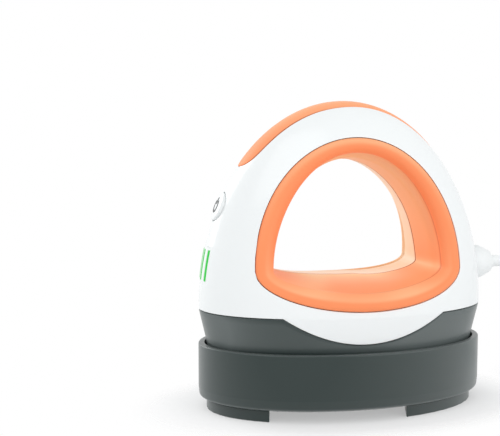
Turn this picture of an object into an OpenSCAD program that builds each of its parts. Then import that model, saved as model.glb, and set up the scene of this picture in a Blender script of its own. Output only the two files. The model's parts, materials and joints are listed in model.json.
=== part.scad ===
// Mini handheld heat press standing in its dock, millimetres.
// +X is the long axis towards the cord, -Y is the front, +Z is up, and Z = 0 is the surface it stands on.
// The press body is a dome with an oval plan; depth() gives how far its skin lies from the middle plane.

/* [Dock] */
// Height of the tray's underside above the surface
tray_z = 4.8; // [3.4:0.2:7]
// Floor of the tray
floor_t = 3; // [2:0.2:5]
// Wall of the tray
tray_t = 2.6; // [2:0.2:4]
// Gap all round between the skirt and the tray's wall
skirt_gap = 0.9; // [0.6:0.1:1.6]
// Height of the silicone mat with its ribs
mat_t = 2.7; // [2:0.1:4]
// Width of the feet
foot_w = 9; // [6:0.5:14]
// Inset of the feet from the tray's wall
foot_in = 3.4; // [2.4:0.2:6]
// Distance of a foot's nearer end from the middle of the dock
foot_near = 18; // [8:1:30]
// Distance of a foot's farther end from the middle of the dock
foot_far = 38; // [32:1:46]

/* [Body] */
// Length of the body at the arris over the skirt
body_l = 124.4; // [116:0.2:134]
// Width of the body at the arris
body_w = 69.5; // [66:0.5:76]
// Height of the arris over the sole of the heat plate
arris_h = 32.2; // [30.2:0.2:35]
// Height of the dome over the arris
dome_h = 86; // [83:0.5:94]
// Width that the body's faces lean in to at the crown
crown_w = 61; // [55:1:65]
// Wall of the shells and the skirt
wall = 2.2; // [1.6:0.1:2.8]
// Height of the tapered skirt, from the arris down to the dock's rim
skirt_h = 14.6; // [13:0.2:17]
// Taper of the skirt on each side
skirt_in = 3.4; // [2:0.2:4.6]
// Half length of the bib under the opening
bib_x = 34; // [26:0.4:38]
// Drop of the bib below the arris
bib_drop = 11.2; // [6:0.2:11.6]

/* [Opening] */
// Outer length of the grip ring
ring_l = 87.6; // [82:0.2:91]
// Height of the ring's widest line over the arris
ring_rise = 18; // [17.4:0.2:20]
// Reach of the ring above its widest line
ring_up = 53; // [49:0.5:54.5]
// Reach of the ring below its widest line
ring_down = 15.8; // [14.8:0.2:16.4]
// Width of the ring's face
ring_w = 7.4; // [6:0.2:8]
// How far the ring stands proud of the shells
ring_proud = 1.2; // [0.4:0.1:2]
// How much the liner narrows towards the middle of the opening
liner_in = 3; // [1:0.2:4]
// Wall of the liner
liner_t = 2; // [1.4:0.1:2.6]

/* [Crown strip] */
// Width of the strip at the crown
strip_w = 16.5; // [10:0.5:24]
// Half length of the strip, along the body
strip_x = 45.2; // [38:0.2:50]
// How far the strip stands proud of the shells
strip_proud = 0.6; // [0.2:0.1:1.2]

/* [Controls] */
// Diameter of the power button
button_d = 12.6; // [9:0.2:15]
// Height of the button over the arris
button_rise = 42.6; // [38:0.2:47]
// Travel of the button
button_travel = 1; // [0.5:0.1:1.4]
// Height of the light bars' middle over the arris
bars_rise = 18.6; // [15:0.2:21]
// Height of a light bar
bar_h = 12; // [8:0.5:14]
// Width of a light bar
bar_w = 1.3; // [0.8:0.1:2]
// Distance between light bars
bar_pitch = 5; // [4.2:0.1:5.4]

/* [Heater] */
// Thickness of the heat plate
plate_t = 5; // [4:0.2:7]
// Gap between the heat plate and the skirt
plate_gap = 0.8; // [0.5:0.1:1.6]
// Height of the heat plate's edge that shows under the skirt
plate_show = 2.8; // [2:0.2:3.6]
// Thickness of the heating element
element_t = 3; // [2.4:0.2:4]
// Thickness of the steel clamp over the element
clamp_t = 1.2; // [0.8:0.1:2]
// Thickness of the insulation felt
felt_t = 4; // [3:0.2:4.6]
// Thickness of the heat shield
shield_t = 0.8; // [0.5:0.1:1.2]
// Diameter of the posts between the plate and the carrier
post_d = 7; // [6:0.2:9]
// Diameter of the screws in the posts
screw_d = 3; // [2.5:0.1:3.5]
// Thickness of the carrier
carrier_t = 2.4; // [2:0.1:3]
// Air under the carrier
carrier_air = 3.4; // [2:0.2:4]

/* [Electronics] */
// Length of the control board
board_l = 66; // [56:1:72]
// Width of the control board
board_w = 38; // [30:1:42]
// Thickness of the boards
board_t = 1.6; // [1.2:0.1:2]
// Height of the pillars under the control board
pillar_h = 3; // [2:0.2:4]
// Height of the power relay
relay_h = 10; // [8:0.5:11]
// Diameter of the capacitor
cap_d = 8; // [6:0.5:10]
// Distance from the button's face to the panel board
panel_depth = 13; // [12:0.2:14]

/* [Cord] */
// Diameter of the cord
cord_d = 4; // [3.6:0.1:4.4]
// Height of the cord's outlet over the arris
relief_rise = 16.1; // [14:0.1:18]
// Diameter of the strain relief at the shells
relief_d = 14.8; // [12:0.2:17]
// Diameter of the strain relief's tip
relief_tip_d = 10.4; // [8:0.2:11.6]
// How far the strain relief stands out of the shells
relief_out = 8; // [6:0.1:8.2]
// Mean radius of the coil's turns
coil_r = 24; // [22:0.5:26]
// Turns in one layer of the coil
coil_turns = 2.75; // [1.75:0.5:3.75]
// Distance between the coil's turns
coil_pitch = 4.6; // [4.5:0.1:5]
// Thickness of the tie around the coil
tie_t = 0.6; // [0.5:0.1:0.9]
// Width of the tie
tie_w = 6; // [4:0.5:10]

/* [Plug] */
// Length of the plug's body
plug_l = 28; // [22:1:36]
// Width of the plug's body
plug_w = 20; // [18:0.5:22]
// Height of the plug's body
plug_h = 16; // [13:0.5:18]
// Distance between the plug's blades
blade_gap = 12.7; // [11:0.1:13]
// Width of a blade
blade_w = 6.3; // [5:0.1:8]
// Thickness of a blade
blade_t = 1.5; // [1:0.1:2]
// Length of a blade outside the plug
blade_l = 17; // [14:0.5:19]

/* [Fits] */
// Gap along the lines between the outer pieces
seam = 0.25; // [0.15:0.05:0.4]
// Gap of a hole around what passes through it
clear = 0.3; // [0.2:0.05:0.5]

/* [Hidden] */
$fn = 48;

// Exponents of the rounded outlines: 2 is an ellipse, more is fuller
plan_n = 2;
crown_n = 2.2;
dome_e = 2;
ring_e = 2;

// Heights
mat_z = tray_z + floor_t;
sole_z = mat_z + mat_t;
arris_z = sole_z + arris_h;
rim_z = arris_z - skirt_h;
skirt_z = sole_z + plate_show;
element_z = sole_z + plate_t;
clamp_z = element_z + element_t;
felt_z = clamp_z + clamp_t;
shield_z = felt_z + felt_t;
carrier_z = shield_z + shield_t + carrier_air;
pillar_z = carrier_z + carrier_t;
board_z = pillar_z + pillar_h;
parts_z = board_z + board_t;
ring_z = arris_z + ring_rise;

// Half sizes of the plan at the arris, and of the tray
half_l = body_l / 2;
half_w = body_w / 2;
tray_grow = skirt_gap + tray_t - skirt_in;
tray_a = half_l + tray_grow;
tray_b = half_w + tray_grow;

// Steps around the plans and the ring, and across the shells
plan_steps = 72;
ring_steps = 60;
shell_rows = 6;

orange = [1, 0.58, 0.37];
white = [0.93, 0.95, 0.96];
slate = [0.3, 0.34, 0.34];
steel = [0.7, 0.71, 0.72];

// ---------------------------------------------------------------- outlines

function power(v, p) = sign(v) * pow(abs(v), p);
function mix(a, b, t) = a + (b - a) * t;

// Point of an oval plan with half axes a and b, at angle u
function plan_point(a, b, u) = [a * power(cos(u), 2 / plan_n), b * power(sin(u), 2 / plan_n)];

// Oval plan, drawn in by d from the body's plan at the arris
function plan(d) = [for (k = [0 : plan_steps - 1])
    plan_point(half_l - d, half_w - d, 360 * k / plan_steps)];

function lift(points, z) = [for (p = points) [p.x, p.y, z]];

// Taper of the skirt at height z, nothing above the arris
function tuck(z) = skirt_in * min(1.12, max(0, arris_z - z) / skirt_h);

function rise(z) = max(0, z - arris_z) / dome_h;
function fullness(z) = mix(plan_n, crown_n, rise(z));
function face(z, d) = half_w - d - tuck(z) - (half_w - crown_w / 2) * rise(z);

// Distance of the skin from the middle plane at [x, z], d inside the outer face
function depth(x, z, d) =
    let (across = abs(x) / (half_l - d - tuck(z)))
    let (up = max(0, z - arris_z) / (dome_h - d))
    let (girth = pow(pow(across, dome_e) + pow(up, dome_e), 1 / dome_e))
    face(z, d) * pow(max(0, 1 - pow(girth, fullness(z))), 1 / fullness(z));

// The dome's outline in the middle plane, as shares of its half length and height
function share_at_height(side, z) =
    let (s = (z - arris_z) / dome_h) [side * pow(1 - pow(s, dome_e), 1 / dome_e), s];
function share_at_length(x) =
    let (c = x / half_l) [c, pow(1 - pow(abs(c), dome_e), 1 / dome_e)];

// Point of the skin d inside the outer face, above the outline point s and y from the middle plane
function skin_point(s, y, d) =
    let (z = arris_z + dome_h * s[1])
    let (g = pow(1 - pow(min(1, abs(y) / face(z, d)), fullness(z)), 1 / fullness(z)))
    [(half_l - d) * s[0] * g, y, arris_z + (dome_h - d) * s[1] * g];

// ---------------------------------------------------------------- places on the body

button_z = arris_z + button_rise;
button_share = share_at_height(-1, button_z);
button_pos = skin_point(button_share, 0, 0);
// Tilt of the button's axis above the horizontal
button_tilt = atan2(pow(button_share[1], dome_e - 1) / dome_h, pow(-button_share[0], dome_e - 1) / half_l);
button_r = button_d / 2;
bars_z = arris_z + bars_rise;
relief_z = arris_z + relief_rise;
relief_pos = skin_point(share_at_height(1, relief_z), 0, 0);
relief_r = relief_d / 2;
cord_r = cord_d / 2;
// Flanges of the button and the strain relief, behind the shells
flange_w = 1.2;
flange_t = 1.4;
// Ends of the strain relief, outside and inside the shells
relief_x = relief_pos.x + relief_out;
relief_seat = seat_depth(1, relief_pos, relief_r + flange_w, 0);
relief_in = relief_pos.x - relief_seat - flange_t;
window_h = bar_h / 2 + 1.8;
window_w = bar_pitch + bar_w / 2 + 1.8;

// X of the panel board's plane, the given distance behind the button, at height z
function panel_x(z, back) =
    button_pos.x + (back + (z - button_z) * sin(button_tilt)) / cos(button_tilt);

// Half width of the crown strip at distance x from the middle
function strip_half(x) = strip_w / 2 * sqrt(max(0, 1 - pow(abs(x) / strip_x, 3)));
// Half width at height z of the light bars' window, drawn in by d
function window_half(z, d) =
    (window_w - d) * pow(max(0, 1 - pow(abs(z - bars_z) / (window_h - d), 6)), 1 / 6);
function window_shares(d) = [for (k = [8 : -1 : 0])
    share_at_height(-1, bars_z - (window_h - d) * power(cos(22.5 * k), 1 / 3))];

// X of the skin, d inside the outer face, at height z and y from the middle plane
function skin_x(z, y, d) =
    let (girth = pow(1 - pow(min(1, y / face(z, d)), fullness(z)), 1 / fullness(z)))
    let (up = max(0, z - arris_z) / (dome_h - d))
    (half_l - d - tuck(z)) * pow(max(0, pow(girth, dome_e) - pow(up, dome_e)), 1 / dome_e);

// [x, z] where the wall of a round hole meets the skin, at angle a from the top of the hole; the hole
// goes in at p on the right (side 1) or the left (side -1), tilted down, and z is a first guess
function hole_edge(side, p, r, tilt, a, d, z, left = 6) =
    let (x = side * skin_x(z, r * sin(a), d))
    let (from = [p.x - side * r * cos(a) * sin(tilt), p.z + r * cos(a) * cos(tilt)])
    left == 0 ? [x, z]
        : hole_edge(side, p, r, tilt, a, d, from.y - (from.x - x) * side * tan(tilt), left - 1);
function hole_point(side, p, r, tilt, a, d) =
    hole_edge(side, p, r, tilt, a, d, p.z + r * cos(a) * cos(tilt));
function hole_ends(side, p, r, tilt) = [for (k = [0 : 10])
    [for (d = [0, wall]) hole_point(side, p, r, tilt, 180 - 18 * k, d)]];

// How far behind p a flange of radius r has room under the shells
function seat_depth(side, p, r, tilt) = clear + max([for (a = [0 : 15 : 180])
    let (q = hole_point(side, p, r, tilt, a, wall))
    -side * (q.x - p.x) * cos(tilt) - (q.y - p.z) * sin(tilt)]);

// Where the shells end: right end, crown and left end, each as [x, z] on the outer and the inner face
function skin_ends(shares, halves) = [for (i = [0 : len(shares) - 1])
    [for (d = [0, wall]) let (p = skin_point(shares[i], halves[i], d)) [p.x, p.z]]];
function plain_ends(side, heights) =
    skin_ends([for (z = heights) share_at_height(side, z)], [for (z = heights) 0]);

tip_w = 0.5;
strip_shares = [for (k = [8 : -1 : -8]) share_at_length(strip_x * sin(90 * k / 8))];
strip_halves = [for (s = strip_shares) max(tip_w, strip_half(s[0] * half_l))];
strip_end_z = skin_point(share_at_length(strip_x + seam), 0, 0).z;
relief_low = relief_z - relief_r - seam;
relief_high = relief_z + relief_r + seam;
button_high = button_z + (button_r + seam) * cos(button_tilt);
dome_ends = concat(
    plain_ends(1, [for (k = [0 : 2]) mix(arris_z, relief_low, k / 3)]),
    hole_ends(1, relief_pos, relief_r + seam, 0),
    plain_ends(1, [for (k = [1 : 4]) mix(relief_high, strip_end_z, k / 4)]),
    skin_ends(strip_shares, [for (w = strip_halves) w + seam]),
    plain_ends(-1, [for (k = [3 : -1 : 1]) mix(button_high, strip_end_z, k / 3)]),
    [for (k = [10 : -1 : 0]) hole_ends(-1, button_pos, button_r + seam, button_tilt)[k]],
    skin_ends(window_shares(0), [for (s = window_shares(0)) window_half(arris_z + dome_h * s[1], 0)]),
    plain_ends(-1, [for (k = [1 : 3]) mix(bars_z - window_h, arris_z, k / 3)]));

// Lower edge of the shells: level at the ends, with the bib in the middle
function bib_z(x) = arris_z - bib_drop * max(0, 1 - pow(x / bib_x, 2));
bib_stations = [
    for (k = [4 : -1 : 1]) -mix(bib_x, half_l, sin(90 * k / 5)),
    for (k = [-6 : 6]) bib_x * k / 6,
    for (k = [1 : 4]) mix(bib_x, half_l, sin(90 * k / 5))];

// Radius of the ring's outline, drawn in by q, in the direction a of [x, z] from its middle
function ring_radius(a, q) =
    let (tall = (sin(a) > 0 ? ring_up : ring_down) - q)
    pow(pow(abs(cos(a)) / (ring_l / 2 - q), ring_e) + pow(abs(sin(a)) / tall, ring_e), -1 / ring_e);
function ring_point(a, q) = [ring_radius(a, q) * cos(a), ring_z + ring_radius(a, q) * sin(a)];

// ---------------------------------------------------------------- skins

// Closed skin through rows of points; the last row joins the first, or both end rows are capped
module skin(rows, closed = false, rails = false) {
    n = len(rows[0]);
    m = len(rows);
    quads = [for (i = [0 : m - (closed ? 1 : 2)], k = [0 : n - 1])
        let (a = i * n, b = (i + 1) % m * n, l = (k + 1) % n) [a + k, b + k, b + l, a + l]];
    sides = [for (q = quads) each [[q[0], q[1], q[2]], [q[0], q[2], q[3]]]];
    last = (m - 1) * n;
    fans = [for (k = [1 : n - 2]) each [[0, k, k + 1], [last, last + k + 1, last + k]]];
    strips = [for (k = [0 : n / 2 - 2]) each [
        [k, k + 1, n - 2 - k], [k, n - 2 - k, n - 1 - k],
        [last + k, last + n - 2 - k, last + k + 1], [last + k, last + n - 1 - k, last + n - 2 - k]]];
    polyhedron([for (r = rows) each r], concat(sides, closed ? [] : rails ? strips : fans));
}

// Rings of a round tube of radius r along a route; side is a direction that the route never takes
function tube_rows(route, r, sides, side) =
    let (last = len(route) - 1)
    [for (i = [0 : last])
        let (t = route[min(last, i + 1)] - route[max(0, i - 1)])
        let (u = cross(side, t) / norm(cross(side, t)))
        let (v = cross(t, u) / norm(t))
        [for (k = [0 : sides - 1]) route[i] + r * (u * cos(360 * k / sides) + v * sin(360 * k / sides))]];

module tube(route, r, sides, side = [0, 1, 0]) skin(tube_rows(route, r, sides, side));

// Plate with the body's oval plan, drawn in by d
module oval(d, z, t) translate([0, 0, z]) linear_extrude(t) polygon(plan(d));

module at_button() translate(button_pos) rotate([0, button_tilt - 90, 0]) children();

// ---------------------------------------------------------------- dock

tray_profile = [[3, tray_z], [1.2, tray_z + 0.6], [0.3, tray_z + 2], [0, tray_z + 4.4],
    [0, rim_z - 1], [0.3, rim_z - 0.3], [0.9, rim_z], [tray_t - 0.5, rim_z],
    [tray_t, rim_z - 0.5], [tray_t, mat_z + 1.6], [tray_t + 1.4, mat_z]];

module dock_tray() color(slate)
    skin([for (p = tray_profile) lift(plan(p[0] - tray_grow), p[1])]);

// Angle around the plan at distance x from the middle
function foot_angle(x) = acos(pow(x / (tray_a - foot_in), plan_n / 2));

// A foot follows the wall from its nearer end, round the tip of the dock, to its farther end
module foot() {
    from = -foot_angle(foot_near);
    to = foot_angle(foot_far);
    angles = [for (k = [0 : 16]) mix(from, to, k / 16)];
    function edge(d) = [for (u = angles) plan_point(tray_a - d, tray_b - d, u)];
    inner = edge(foot_in + foot_w);
    linear_extrude(tray_z)
        polygon(concat(edge(foot_in), [for (k = [15 : -1 : 1]) inner[k]]));
}

module dock_feet() color(slate) {
    foot();
    rotate(180) foot();
}

module dock_mat() color([0.2, 0.21, 0.21]) {
    rib_h = 1;
    oval(tray_t + 2 - tray_grow, mat_z, mat_t - rib_h);
    for (k = [-3 : 3])
        translate([k * half_l / 4.5 - 2, -half_w / 2.2, mat_z + mat_t - rib_h])
            cube([4, half_w / 1.1, rib_h]);
}

// ---------------------------------------------------------------- shells

// One station of a shell: the outer face from the ring to its end, then the inner face back
function shell_row(outer, inner) =
    let (a = atan2(outer.y - ring_z, outer.x))
    let (r = ring_point(a, 0))
    let (steps = [for (k = [0 : shell_rows]) 1 - pow(1 - k / shell_rows, 1.7)])
    concat([for (f = steps) let (p = mix(r, outer, f)) [p.x, -depth(p.x, p.y, 0), p.y]],
        [for (k = [shell_rows : -1 : 0])
            let (p = mix(r, inner, steps[k])) [p.x, -depth(p.x, p.y, wall), p.y]]);

shell_rows_all = concat(
    [for (e = dome_ends) shell_row(e[0], e[1])],
    [for (x = bib_stations)
        let (w = half_l - tuck(bib_z(x)))
        let (edge = min(1, abs(x) / w) * sign(x))
        shell_row([edge * w, bib_z(x)], [edge * (w - wall), bib_z(x)])]);

module shell() skin(shell_rows_all, closed = true);

module front_shell() color(white) shell();

module rear_shell() color(white) mirror([0, 1, 0]) shell();

// Edge of the skirt, drawn in by d: a share of the way from the shells down to the rim, or at a height
function skirt_edge(d, down) = [for (k = [0 : plan_steps - 1])
    let (flat = plan_point(half_l, half_w, 360 * k / plan_steps))
    let (x = flat.x * (1 - tuck(bib_z(flat.x)) / half_l))
    let (z = down < 1 ? mix(bib_z(x) - seam, rim_z, down) : down)
    let (p = plan_point(half_l - d - tuck(z), half_w - d - tuck(z), 360 * k / plan_steps))
    [p.x, p.y, z]];

// Skirt under the shells, from the bib's edge down past the dock's rim
module lower_housing() color(slate)
    skin([skirt_edge(wall, 0), skirt_edge(wall, 0.4), skirt_edge(wall, 0.99), skirt_edge(wall, skirt_z),
        skirt_edge(0.9, skirt_z), skirt_edge(0.3, skirt_z + 1), skirt_edge(0, 0.99),
        skirt_edge(0, 0.4), skirt_edge(0, 0)], closed = true);

// ---------------------------------------------------------------- grips

// Half of the orange ring and liner: each station is drawn in by q and stands at y
module grip() {
    function row(a) =
        let (r = ring_point(a, 0))
        let (s = depth(r.x, r.y, 0))
        let (section = [
            [seam, 3.2 - s], [seam, 0.1 - s], [ring_w * 0.14, -s - ring_proud * 0.62],
            [ring_w * 0.38, -s - ring_proud], [ring_w * 0.66, -s - ring_proud * 0.7],
            [ring_w * 0.88, 0.7 - s], [ring_w, 3 - s],
            [ring_w + liner_in * 0.7, -s * 0.45], [ring_w + liner_in, 0],
            [ring_w + liner_in - liner_t, 0], [ring_w + liner_in * 0.7 - liner_t, -s * 0.45],
            [ring_w - liner_t, 4.6 - s]])
        [for (p = section) let (f = ring_point(a, p[0])) [f.x, p[1], f.y]];
    skin([for (k = [ring_steps : -1 : 1]) row(360 * k / ring_steps)], closed = true);
}

module front_grip() color(orange) grip();

module rear_grip() color(orange) mirror([0, 1, 0]) grip();

// A patch of skin over the outline points, from one edge to the other, with half widths and heights
module patch(shares, halves, swell, thick) {
    across = 8;
    function line(s, w, inner) = [for (k = [0 : across])
        let (f = 2 * k / across - 1)
        skin_point(s, w * f, inner ? thick : -swell * (1 - pow(f, 4)))];
    function back(points) = [for (k = [len(points) - 1 : -1 : 0]) points[k]];
    skin([for (i = [0 : len(shares) - 1])
        concat(line(shares[i], halves[i], false), back(line(shares[i], halves[i], true)))], rails = true);
}

module top_strip() color(orange)
    patch(strip_shares, strip_halves, strip_proud, wall);

// ---------------------------------------------------------------- controls

module bar_frame() color(white) difference() {
    patch(window_shares(seam),
        [for (s = window_shares(seam)) max(tip_w, window_half(arris_z + dome_h * s[1], seam))], 0, wall);
    for (k = [-1 : 1])
        translate([-half_l - 1, k * bar_pitch - bar_w / 2 - clear / 2, bars_z - bar_h / 2 - clear / 2])
            cube([12, bar_w + clear, bar_h + clear]);
}

// Light guides, from the lamps on the panel board to the outer face
module light_bars() color([0.25, 0.95, 0.45])
    for (k = [-1 : 1])
        translate([0, k * bar_pitch + bar_w / 2, 0]) rotate([90, 0, 0]) linear_extrude(bar_w)
            polygon(concat(
                [for (i = [0 : 4])
                    let (z = bars_z + bar_h * (i / 4 - 0.5))
                    let (p = skin_point(share_at_height(-1, z), k * bar_pitch, 0)) [p.x - 0.1, z]],
                [for (z = [bars_z + bar_h / 2, bars_z - bar_h / 2]) [panel_x(z, panel_depth - 1), z]]));

// Heights along the button's axis, from the skin inwards
flange_z = -seat_depth(-1, button_pos, button_r + flange_w, button_tilt);
stem_z = -8;
switch_t = 2.6;
plunger_l = panel_depth + stem_z - switch_t;

module power_button() color(white) at_button() {
    rotate_extrude($fn = 64) polygon([[0, 1], [button_r * 0.5, 0.95], [button_r * 0.82, 0.7],
        [button_r - 0.15, 0.2], [button_r, -0.3], [button_r, flange_z], [button_r + flange_w, flange_z],
        [button_r + flange_w, flange_z - flange_t], [2, flange_z - flange_t], [2, stem_z], [0, stem_z]]);
}

module switch_plunger() color([0.1, 0.1, 0.1]) at_button()
    translate([0, 0, stem_z - plunger_l - 0.4]) cylinder(r = 1.6, h = plunger_l + 0.4);

module tact_switch() color(steel) at_button() translate([0, 0, -panel_depth]) difference() {
    translate([-3, -3, 0]) cube([6, 6, switch_t]);
    translate([0, 0, switch_t - button_travel - 0.8]) cylinder(r = 1.6 + clear / 2, h = switch_t);
}

module panel_board() color([0.1, 0.4, 0.2]) {
    panel_w = 2 * bar_pitch + 8;
    low = (button_z - bars_z + bar_h / 2 + 4) / cos(button_tilt);
    at_button() translate([-low, -panel_w / 2, -panel_depth - board_t])
        cube([low + panel_w * 0.45, panel_w, board_t]);
}

module indicator_leds() color([0.8, 0.9, 0.8])
    for (k = [-1 : 1])
        translate([0, k * bar_pitch + 0.8, 0]) rotate([90, 0, 0]) linear_extrude(1.6)
            polygon([for (c = [[-1.6, 0], [1.6, 0], [1.6, 1], [-1.6, 1]])
                [panel_x(bars_z + c[0], panel_depth - c[1]), bars_z + c[0]]]);

// ---------------------------------------------------------------- heater

carrier_in = tuck(carrier_z) + wall + 0.4;
stack_in = skirt_in * 1.12 + wall + plate_gap;
post_x = half_l * 0.643;
post_y = half_w * 0.425;

module at_posts() for (x = [-post_x, post_x], y = [-post_y, post_y]) translate([x, y, 0]) children();

module heat_plate() color([0.36, 0.36, 0.38]) difference() {
    union() {
        oval(stack_in + 0.9, sole_z, plate_t);
        oval(stack_in, sole_z + 0.9, plate_t - 0.9);
    }
    at_posts() translate([0, 0, sole_z + 2]) cylinder(d = screw_d, h = plate_t);
}

// Hairpin strip with its legs along the plate
leg_l = half_l * 0.95;
leg_y = half_w * 0.3;
leg_w = 6;

module heating_element() color([0.75, 0.72, 0.62]) translate([0, 0, element_z]) linear_extrude(element_t)
    difference() {
        union() {
            translate([-leg_l / 2, -leg_y / 2 - leg_w]) square([leg_l, leg_y + 2 * leg_w]);
            translate([-leg_l / 2, 0]) circle(d = leg_y + 2 * leg_w);
        }
        translate([-leg_l / 2, -leg_y / 2]) square([leg_l + 1, leg_y]);
        translate([-leg_l / 2, 0]) circle(d = leg_y);
    }

module holed_oval(d, z, t) difference() {
    oval(d, z, t);
    at_posts() translate([0, 0, z - 1]) cylinder(d = post_d + 2 * clear, h = t + 2);
}

module element_clamp() color(steel) holed_oval(stack_in + 2, clamp_z, clamp_t);

module insulation_felt() color([0.85, 0.83, 0.76]) holed_oval(stack_in + 1, felt_z, felt_t);

module heat_shield() color([0.8, 0.81, 0.82]) holed_oval(stack_in + 1, shield_z, shield_t);

module plate_posts() color(steel) at_posts() translate([0, 0, element_z]) difference() {
    cylinder(d = post_d, h = carrier_z - element_z);
    translate([0, 0, -1]) cylinder(d = screw_d + 0.1, h = carrier_z - element_z + 2);
}

module plate_screws() color(steel) at_posts() {
    translate([0, 0, sole_z + 2.5]) cylinder(d = screw_d - 0.1, h = pillar_z - sole_z - 2.5);
    translate([0, 0, pillar_z]) cylinder(d = screw_d + 2.6, h = 2);
}

module thermal_fuse() color([0.8, 0.7, 0.4])
    translate([6, 0, element_z + 1.3]) rotate([0, 90, 0]) cylinder(d = 2.4, h = 11);

module temperature_sensor() color([0.2, 0.2, 0.22])
    translate([-12, -2, element_z]) cube([6, 4, 2.2]);

// ---------------------------------------------------------------- carrier and boards

pillar_x = board_l / 2 - 4;
pillar_y = board_w / 2 - 4;
panel_low = arris_z + 6;
panel_high = button_z + 6;
rest_t = 3;
lead_z = parts_z + 4;
clip_x = relief_in - 6.5;
clip_y = 5;
clip_z = relief_z - cord_r;
lead_y = board_w / 2 + 3;

module at_pillars() for (x = [-pillar_x, pillar_x], y = [-pillar_y, pillar_y]) translate([x, y, 0]) children();

module carrier() color([0.25, 0.27, 0.28]) difference() {
    union() {
        oval(carrier_in, carrier_z, carrier_t);
        at_pillars() translate([0, 0, pillar_z]) cylinder(d = 6, h = pillar_h);
        translate([0, 7, 0]) rotate([90, 0, 0]) linear_extrude(14)
            polygon([[panel_x(panel_low, panel_depth + board_t), pillar_z - 0.5],
                [panel_x(panel_low, panel_depth + board_t), panel_low],
                [panel_x(panel_high, panel_depth + board_t), panel_high],
                [panel_x(panel_high, panel_depth + board_t + rest_t), panel_high],
                [panel_x(panel_low, panel_depth + board_t + rest_t), panel_low],
                [panel_x(panel_low, panel_depth + board_t + rest_t), pillar_z - 0.5]]);
        translate([clip_x - 3, -clip_y - 3, pillar_z - 0.5])
            cube([6, 2 * clip_y + 6, clip_z - pillar_z + 0.5]);
    }
    at_posts() translate([0, 0, carrier_z - 1]) cylinder(d = screw_d + 2 * clear, h = carrier_t + 2);
    at_pillars() translate([0, 0, pillar_z]) cylinder(d = 2, h = pillar_h + 1);
    for (y = [-clip_y, clip_y]) translate([clip_x, y, clip_z - 8]) cylinder(d = 2, h = 9);
    translate([0, lead_y, carrier_z - 1]) cylinder(d = 5, h = carrier_t + 2);
}

module control_board() color([0.1, 0.4, 0.2]) difference() {
    translate([-board_l / 2, -board_w / 2, board_z]) cube([board_l, board_w, board_t]);
    at_pillars() translate([0, 0, board_z - 1]) cylinder(d = 2.4, h = board_t + 2);
}

module power_relay() color([0.15, 0.25, 0.6])
    translate([7 - board_l / 2, -8, parts_z]) cube([18, 14, relay_h]);

module capacitor() color([0.2, 0.2, 0.25])
    translate([6, 0, parts_z]) cylinder(d = cap_d, h = 12);

module terminal_block() color([0.2, 0.55, 0.3])
    translate([board_l / 2 - 12, -6, parts_z]) cube([8, 12, 8]);

module board_screws() color(steel) at_pillars() {
    translate([0, 0, pillar_z + 0.2]) cylinder(d = 1.9, h = pillar_h + board_t - 0.2);
    translate([0, 0, parts_z]) cylinder(d = 4, h = 1.4);
}

// ---------------------------------------------------------------- cord

module strain_relief() color(white) translate([relief_in, 0, relief_z]) rotate([0, 90, 0])
    rotate_extrude($fn = 64) polygon([[0, 0], [relief_r + flange_w, 0], [relief_r + flange_w, flange_t],
        [relief_r, flange_t], [relief_r, relief_pos.x - relief_in], [relief_r - 0.6, relief_pos.x - relief_in + 1],
        [relief_tip_d / 2 + 0.5, relief_x - relief_in - 1], [relief_tip_d / 2, relief_x - relief_in - 0.4],
        [relief_tip_d / 2 - 0.6, relief_x - relief_in], [0, relief_x - relief_in]]);

clip_d = cord_d + 2 * clear;

// Bar over the cord, on the carrier's upright
module cord_clamp() color([0.15, 0.15, 0.16]) difference() {
    translate([clip_x - 3, -clip_y - 3, clip_z]) cube([6, 2 * clip_y + 6, cord_d + 2]);
    translate([clip_x - 4, 0, relief_z]) rotate([0, 90, 0]) cylinder(d = clip_d, h = 8);
    for (y = [-clip_y, clip_y]) translate([clip_x, y, clip_z - 1]) cylinder(d = 2.4, h = cord_d + 4);
}

module clamp_screws() color(steel) for (y = [-clip_y, clip_y]) translate([clip_x, y, clip_z]) {
    translate([0, 0, -6]) cylinder(d = 1.9, h = cord_d + 8);
    translate([0, 0, cord_d + 2]) cylinder(d = 4, h = 1.4);
}

// Inner end of the cord, from the strain relief through the clamp
module cord_end() color(white)
    translate([clip_x - 5, 0, relief_z]) rotate([0, 90, 0]) cylinder(d = cord_d, h = relief_in - clip_x + 5);

// Two cores from the cord's end down to the terminals
module supply_leads() color([0.35, 0.25, 0.15]) for (y = [-1.1, 1.1])
    tube([for (f = [[0, 1], [0.08, 1], [0.26, 0.985], [0.42, 0.87], [0.5, 0.63], [0.55, 0.4],
        [0.66, 0.16], [0.82, 0.02], [0.93, 0], [1, 0]])
        [mix(clip_x - 5, board_l / 2 - 4, f[0]), y, mix(lead_z, relief_z, f[1])]], 0.9, 6);

// Two leads from the board down through the carrier's hole to the element
module heater_leads() color([0.8, 0.2, 0.15]) for (k = [0, 1])
    tube([[2 + 5 * k, board_w / 2 - 6, parts_z], [2 + 5 * k, board_w / 2 - 6, parts_z + 2],
        [2 + 4 * k, board_w / 2 + 0.5, parts_z + 4], [2 * k - 0.2, lead_y - 0.2, parts_z],
        [2 * k - 1, lead_y, pillar_z + 1], [2 * k - 1, lead_y, (pillar_z + shield_z) / 2],
        [2 * k - 1, lead_y, shield_z + shield_t]], 0.9, 6, [1, 0, 0]);

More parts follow.
